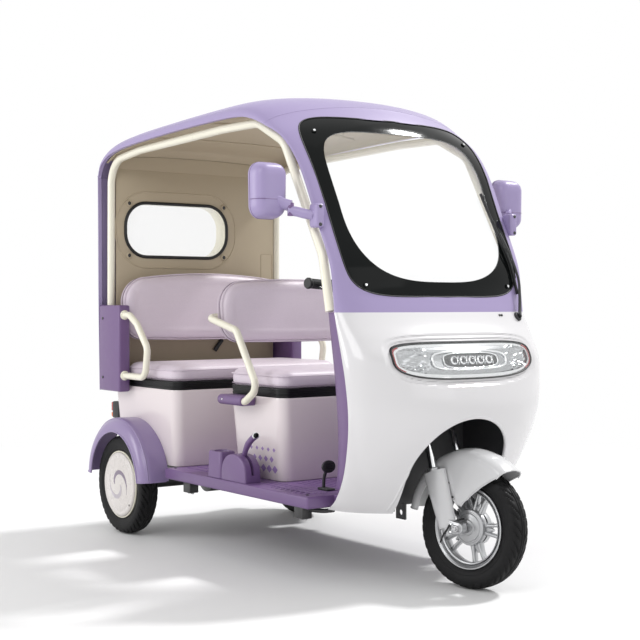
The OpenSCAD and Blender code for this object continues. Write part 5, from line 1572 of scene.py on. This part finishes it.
for tag, sx in (("right", -1), ("left", 1)):
    x0, x1 = sorted((sx * 414, sx * 466))
    post = rounded_box("rear_post_" + tag, (x0, 1650, 584), (x1, 1837.4, 946), 9, M["plum"], 4)
    place(post, "body", "plum_panel", M["plum"], ("rear_posts",) if sx < 0 else ())
    lamp = rounded_box("tail_lamp_base_" + tag, (min(sx * 338, sx * 398), 1790, 460), (max(sx * 338, sx * 398), 1848, 532), 6, M["black_plastic"])
    place(lamp, "body", "tail_red", M["black_plastic"], ("tail_lamps",) if sx < 0 else ())
    for k, (z0, z1, mat) in enumerate(((463, 486, "amber"), (488, 529, "red"))):
        place(rounded_box("tail_lens_%s_%d" % (tag, k + 1), (min(sx * 341, sx * 395), 1842, z0), (max(sx * 341, sx * 395), 1865, z1), 6, M[mat]), "body", "tail_red", M[mat])
    for k, z in enumerate((640, 890)):
        round_cap("rear_post_screw_%s_%d" % (tag, k + 1), 6, 2.5, (sx * 466, 1800, z), (sx, 0, 0), M["black_steel"], "black_steel")

# ---------- Mirrors


def mirror_ring(y, grow, sx, r=44):
    cx, cz = sx * 550, 1331
    ring_pts = round_ring(68 + grow, 95 + grow, max(4, r + grow), (0, 0, 0), 10)
    out = []
    for p in ring_pts:
        t = (p[1] + 95) / 190
        squeeze = 1 - 0.10 * (1 - t) - 0.05 * t
        out.append((cx + p[0] * squeeze, y + 0.0, cz + p[1]))
    return out


for tag, sx in (("right", -1), ("left", 1)):
    rings = [mirror_ring(y, g, sx) for y, g in ((432, -5), (434.6, -3.4), (435, -1.2), (434, 0), (422, 0), (404, -2), (390, -6), (380, -12), (374, -21), (371, -32), (370, -48))]
    head = loft("mirror_head_" + tag, rings, M["lavender"], True, 50)
    place(head, "body", "lavender_panel", M["lavender"], ("mirrors",) if sx < 0 else ())
    seam = [(x, y - 0.6, z) for x, y, z in mirror_ring(425, 0.2, sx)]
    place(sweep("mirror_seam_" + tag, dense_loop(seam, 20), 0.9, sides=6, closed=True), "body", "lavender_panel", M["plum"])
    cut_line = []
    for y, g in ((422, 0), (404, -2), (390, -6), (380, -12), (374, -21), (371, -32)):
        half = (68 + g) * 0.925
        cut_line.append((sx * 550 - half, y, 1300))
    line = [(x, y - 0.3, z) for x, y, z in cut_line] + [(2 * sx * 550 - x, y - 0.3, z) for x, y, z in reversed(cut_line)]
    place(sweep("mirror_split_" + tag, smooth_path(line, 4), 1.1, sides=6), "body", "lavender_panel", M["plum"])
    glass_ring = [mirror_ring(y, g, sx) for y, g in ((432.6, -5.4), (435.2, -5.4), (435.6, -6.5))]
    place(loft("mirror_pane_" + tag, glass_ring, M["mirror"], True, 30), "body", "mirror_glass", M["mirror"], ("mirror_glasses",) if sx < 0 else ())
    arm = [(sx * 540, 392, 1306), (sx * 530, 384, 1296), (sx * 512, 366, 1284), (sx * 497, 350, 1278)]
    place(sweep("mirror_arm_head_" + tag, smooth_path(arm, 6), 14, sides=24, flat=1.5), "body", "lavender_panel", M["lavender"])
    arm = [(sx * 506, 352, 1262), (sx * 488, 330, 1258), (sx * 470, 305, 1250), (sx * 452, 286, 1245)]
    place(sweep("mirror_arm_base_" + tag, smooth_path(arm, 6), 11, sides=24, flat=1.5), "body", "lavender_panel", M["lavender"])
    pin = revolve("mirror_pin_" + tag, [(10, -18), (11, -16), (11, 24), (10, 26), (0.2, 26), (0.2, -18)], (sx * 501, 347, 1262), "z", 32)
    place(pin, "body", "lavender_panel", M["plum"])
    foot = rounded_box("mirror_foot_" + tag, (min(sx * 426, sx * 458), 256, 1204), (max(sx * 426, sx * 458), 304, 1284), 9, M["lavender"], 4)
    place(foot, "body", "lavender_panel", M["lavender"])
    for k, z in enumerate((1214, 1274)):
        round_cap("mirror_foot_screw_%s_%d" % (tag, k + 1), 6, 2.5, (sx * 444, 256, z), (0, -1, 0), M["black_steel"], "black_steel")

# ---------- Handlebar and grips

dress("handlebar", M["black_steel"], 0, smooth=50)
for tag, sx in (("right", -1), ("left", 1)):
    prof = [(13, sx * 252), (19, sx * 252), (21, sx * 254), (21, sx * 260), (17.4, sx * 262)]
    for k in range(16):
        x = 266 + k * 6.2
        prof += [(17.4, sx * x), (16.2, sx * (x + 1.2)), (16.2, sx * (x + 2.4)), (17.4, sx * (x + 3.6))]
    prof += [(17.4, sx * 368), (19.5, sx * 370), (19.5, sx * 376), (17, sx * 379.6), (6, sx * 380), (0.2, sx * 380), (0.2, sx * 252)]
    grip = at_front(revolve("grip_" + tag, prof, (0, 465, 998), "x", 40, smooth=50))
    place(grip, "steering", "black_rubber", M["seal"], ("grips",) if sx < 0 else ())
    lever = [(sx * 205, 452, 992), (sx * 222, 436, 990), (sx * 262, 428, 988), (sx * 310, 430, 986), (sx * 352, 436, 985)]
    obj = at_front(sweep("hand_lever_" + tag, smooth_path(lever, 6), np.interp(np.arange(25), [0, 4, 20, 24], [9, 6.5, 6, 7.5]), sides=14, flat=0.7))
    place(obj, "steering", "black_steel", M["lamp_dark"])
    hub = at_front(rounded_box("hand_control_" + tag, (min(sx * 196, sx * 240), 440, 974), (max(sx * 196, sx * 240), 488, 1022), 10, M["black_plastic"]))
    place(hub, "steering", "black_plastic", M["black_plastic"])
dash = at_front(rounded_box("dash_display", (-72, 400, 948), (72, 470, 990), 16, M["black_plastic"], 4))
place(dash, "steering", "black_plastic", M["black_plastic"])
face = at_front(rounded_box("dash_screen", (-58, 424, 985), (58, 474, 993), 5, M["black_gloss"], 3))
place(face, "steering", "black_plastic", M["black_gloss"])

# ---------- Frame, axle and the small parts below

for node, mat, width in (("frame", "black_steel", 1.6), ("rear_axle", "black_steel", 1.2), ("leaf_springs", "black_steel", 0.8), ("arch_liner", "black_plastic", 1.0), ("inner_fairing", "plum", 1.0)):
    dress(node, M[mat], width)
for i, (x, y) in enumerate(((-392, 430), (-392, 1190), (392, 430), (392, 1190))):
    place(rounded_box("sill_bracket_%d" % (i + 1), (x - 20, y - 26, 214), (x + 20, y + 26, 257), 3, M["black_steel"]), "body", "black_steel", M["black_steel"])
    for k in (-12, 12):
        round_cap("sill_bolt_%d_%d" % (i + 1, k > 0), 7, 6, (x + k * 0, y + k, 214), (0, 0, -1), M["steel"], "black_steel")
for i, (x, y0, y1, z) in enumerate(((-300, 380, 620, 226), (300, 380, 620, 226), (-250, 700, 1150, 230), (250, 700, 1150, 230))):
    place(sweep("under_pipe_%d" % (i + 1), smooth_path([(x, y0, z + 14), (x + 8, (y0 * 2 + y1) / 3, z), (x - 8, (y0 + 2 * y1) / 3, z), (x, y1, z + 14)], 8), 8, sides=12), "body", "black_plastic", M["black_plastic"])
under_tray = rounded_box("under_tray", (-230, 640, 214), (230, 1000, 252), 6, M["black_plastic"])
place(under_tray, "body", "black_plastic", M["black_plastic"])

# ---------- Generic diamond pattern on the driver's seat box

decal_pts, decal_faces = [], []
for row in range(3):
    for col in range(6):
        size = 15.0 - 3.5 * row
        z = 340 + row * 36
        y = 752 + col * 38 + (row % 2) * 19
        base_i = len(decal_pts)
        for depth in (-0.2, 0.5):
            for u, v in ((size * 1.15, 0), (0, size), (-size * 1.15, 0), (0, -size)):
                x = -(288 + TAPER * (z + v - FLOOR_Z) / (RIM_Z - FLOOR_Z)) - depth
                decal_pts.append((x, y + u, z + v))
        decal_faces += [tuple(base_i + k for k in (0, 1, 2, 3)), tuple(base_i + k for k in (7, 6, 5, 4))]
        decal_faces += [(base_i + k, base_i + 4 + k, base_i + 4 + (k + 1) % 4, base_i + (k + 1) % 4) for k in range(4)]
decal = make("seat_box_decal", decal_pts, decal_faces, M["decal"])
place(decal, "body", "blush_box", M["decal"])

# ---------- Rear wall's pressed frame, plate holder and reflectors

rear_bvh = bvh_of([skin_grid(REAR)])


def rear_at(x, z, lift=0.0):
    hit, _, _, _ = rear_bvh.ray_cast(Vector((x, 2400, z)), Vector((0, -1, 0)))
    y = 1880.0 if hit is None else hit.y
    return np.array([x, y + lift, z])


for name, half_x, half_z, r, cz_bead, rad in (("rear_wall_bead_low", 370, 105, 40, 760, 4.0), ("rear_wall_bead_window", 330, 160, 120, 1272, 3.6)):
    cx_bead = 0 if "low" in name else WIN[0] * 0.35
    line = [rear_at(p[0] + cx_bead, p[1] + cz_bead, 0.4) for p in round_ring(half_x, half_z, r, (0, 0, 0), 10)]
    place(sweep(name, dense_loop(line, 18), rad, sides=10, closed=True), "body", "lavender_panel", M["lavender"])
plate = rear_at(0, 640)
place(rounded_box("plate_holder", (-112, plate[1] - 1, 606), (112, plate[1] + 5, 674), 3, M["black_plastic"]), "body", "black_plastic", M["black_plastic"])
for i, x in enumerate((-90, 90)):
    round_cap("plate_bolt_%d" % (i + 1), 5, 2.5, (x, plate[1] + 5, 640), (0, 1, 0), M["steel"], "black_plastic")
for tag, sx in (("right", -1), ("left", 1)):
    at = rear_at(sx * 330, 618)
    disc = revolve("rear_reflector_" + tag, [(22, -1), (22, 4), (20, 6), (0.2, 7), (0.2, -1)], (at[0], at[1], at[2]), "y", 40)
    place(disc, "body", "tail_red", M["red_reflector"])
    for k, z in enumerate((700, 1000, 1300, 1440)):
        at = rear_at(sx * 440, z)
        round_cap("rear_wall_screw_%s_%d" % (tag, k + 1), 6, 2.5, at, (0, 1, 0), M["black_steel"], "black_steel")
place(sweep("roof_seam", ring([1838, 1495, 467, 172, 45, 2.4], 5, 5, 60), 7.5, sides=12), "body", "lavender_panel", M["lavender"])

BOX_LINES = [("rear_wall", "lavender"), ("rear_liner", "beige"), ("roof_liner", "beige"), ("window_seal", "seal"),
             ("rear_window", "glass"), ("inner_fairing", "plum"), ("arch_liner", "black_plastic"), ("floor", "plum"),
             ("rear_posts", "plum"), ("driver_seat_box", "blush"), ("rear_seat_box", "blush"),
             ("rail_brackets", "plum"), ("rear_mudguards", "plum"), ("rear_axle", "black_steel"),
             ("leaf_springs", "black_steel"), ("battery", "black_plastic"), ("headlamp", "chrome"),
             ("headlamp_lens", "lens"), ("tail_lamps", "red"), ("mirrors", "lavender"), ("mirror_glasses", "mirror"),
             ("wiper", "black_plastic"), ("console", "plum"), ("brake_lever", "black_plastic"),
             ("brake_pedal", "black_plastic"), ("fork", "silver"), ("stanchions", "chrome"),
             ("front_mudguard", "nose"), ("handlebar", "black_steel"), ("grips", "seal"),
             ("front_axle", "steel"), ("front_rim", "silver"), ("front_tyre", "tyre"), ("rear_rim_right", "ivory"),
             ("rear_tyre_right", "tyre"), ("rear_rim_left", "ivory"), ("rear_tyre_left", "tyre"),
             ("driver_pan", "black_plastic"), ("driver_cushion", "leather"), ("rear_pan", "black_plastic"),
             ("rear_cushion", "leather"), ("driver_backrest", "leather"), ("rear_backrest", "leather"),
             ("frame", "black_steel"), ("hoops", "ivory"), ("driver_rails", "ivory"), ("rear_rails", "ivory")]
for node, key in BOX_LINES:
    obj = frame["nodes"][node]
    obj.data.materials.clear()
    obj.data.materials.append(M[key])

# ---------- Camera, floor and light

camera_data = bpy.data.cameras.new("camera")
camera_data.sensor_width = 36
camera_data.lens = 73.26
camera_data.clip_end = 60
camera = bpy.data.objects.new("camera", camera_data)
bpy.context.scene.collection.objects.link(camera)
camera.location = (-2.9747, -4.0673, 0.95135)
camera.rotation_euler = (math.radians(90 - 0.71), 0, math.radians(-36.01))
bpy.context.scene.camera = camera


def area(name, loc, target, size, power, colour=(1, 1, 1)):
    data = bpy.data.lights.new(name, "AREA")
    data.shape = "RECTANGLE"
    data.size, data.size_y = size
    data.energy = power
    data.color = colour
    obj = bpy.data.objects.new(name, data)
    obj.location = loc
    obj.rotation_euler = (Vector(target) - Vector(loc)).to_track_quat("-Z", "Y").to_euler()
    bpy.context.scene.collection.objects.link(obj)
    return obj


floor_mat = Nodes("m_stage_floor")
floor_mat.to(floor_mat.ramp(floor_mat.noise(0.8, 3, 0.5), [(0.3, (0.80, 0.80, 0.80)), (0.7, (0.82, 0.82, 0.82))]), "Base Color")
floor_mat.set(Roughness=0.6)
floor_tree = floor_mat.mat.node_tree
floor_glow = floor_tree.nodes.new("ShaderNodeEmission")
floor_glow.inputs["Strength"].default_value = 1.0
floor_far = floor_tree.nodes.new("ShaderNodeMapRange")
floor_far.interpolation_type = "SMOOTHSTEP"
floor_far.inputs["From Min"].default_value = 1.9
floor_far.inputs["From Max"].default_value = 4.2
floor_len = floor_tree.nodes.new("ShaderNodeVectorMath")
floor_len.operation = "LENGTH"
floor_tree.links.new(floor_mat.coord.outputs["Object"], floor_len.inputs[0])
floor_tree.links.new(floor_len.outputs["Value"], floor_far.inputs["Value"])
floor_mix = floor_tree.nodes.new("ShaderNodeMixShader")
floor_out = [n for n in floor_tree.nodes if n.type == "OUTPUT_MATERIAL"][0]
floor_plain = floor_out.inputs["Surface"].links[0].from_socket
floor_tree.links.new(floor_far.outputs["Result"], floor_mix.inputs[0])
floor_tree.links.new(floor_plain, floor_mix.inputs[1])
floor_tree.links.new(floor_glow.outputs[0], floor_mix.inputs[2])
floor_tree.links.new(floor_mix.outputs[0], floor_out.inputs["Surface"])
bm = bmesh.new()
bmesh.ops.create_grid(bm, x_segments=1, y_segments=1, size=30)
floor_mesh = bpy.data.meshes.new("stage_floor")
bm.to_mesh(floor_mesh)
bm.free()
stage_floor = bpy.data.objects.new("stage_floor", floor_mesh)
bpy.context.scene.collection.objects.link(stage_floor)
stage_floor.data.materials.append(floor_mat.mat)

world = bpy.data.worlds.new("world")
bpy.context.scene.world = world
world.use_nodes = True
tree = world.node_tree
tree.nodes.clear()
out = tree.nodes.new("ShaderNodeOutputWorld")
soft = tree.nodes.new("ShaderNodeBackground")
soft.inputs[0].default_value = (1, 1, 1, 1)
soft.inputs[1].default_value = 0.66
white = tree.nodes.new("ShaderNodeBackground")
white.inputs[0].default_value = (1, 1, 1, 1)
white.inputs[1].default_value = 1.0
path = tree.nodes.new("ShaderNodeLightPath")
mixer = tree.nodes.new("ShaderNodeMixShader")
both_rays = tree.nodes.new("ShaderNodeMath")
both_rays.operation = "MAXIMUM"
seen_rays = tree.nodes.new("ShaderNodeMath")
seen_rays.operation = "MAXIMUM"
tree.links.new(path.outputs["Is Camera Ray"], both_rays.inputs[0])
tree.links.new(path.outputs["Is Glossy Ray"], both_rays.inputs[1])
tree.links.new(both_rays.outputs[0], seen_rays.inputs[0])
tree.links.new(path.outputs["Is Transmission Ray"], seen_rays.inputs[1])
tree.links.new(seen_rays.outputs[0], mixer.inputs[0])
tree.links.new(soft.outputs[0], mixer.inputs[1])
tree.links.new(white.outputs[0], mixer.inputs[2])
tree.links.new(mixer.outputs[0], out.inputs[0])

sun_data = bpy.data.lights.new("sun", "SUN")
sun_data.energy = 2.5
sun_data.angle = math.radians(7)
sun = bpy.data.objects.new("sun", sun_data)
sun.rotation_euler = Vector((0.80, -0.06, 0.92)).to_track_quat("Z", "Y").to_euler()
bpy.context.scene.collection.objects.link(sun)
area("key", (-4.2, -2.2, 3.6), (0, 0, 0.8), (2.6, 2.6), 60)
area("front", (1.6, -5.2, 2.2), (0, -0.6, 0.7), (2.2, 2.8), 16)
area("top", (0.3, 0.4, 5.0), (0, 0, 0.8), (3.5, 3.5), 8)
area("side", (-4.6, 2.2, 2.2), (0, 0.3, 0.8), (1.6, 3.0), 75)

scene = bpy.context.scene
scene.view_settings.view_transform = "Standard"
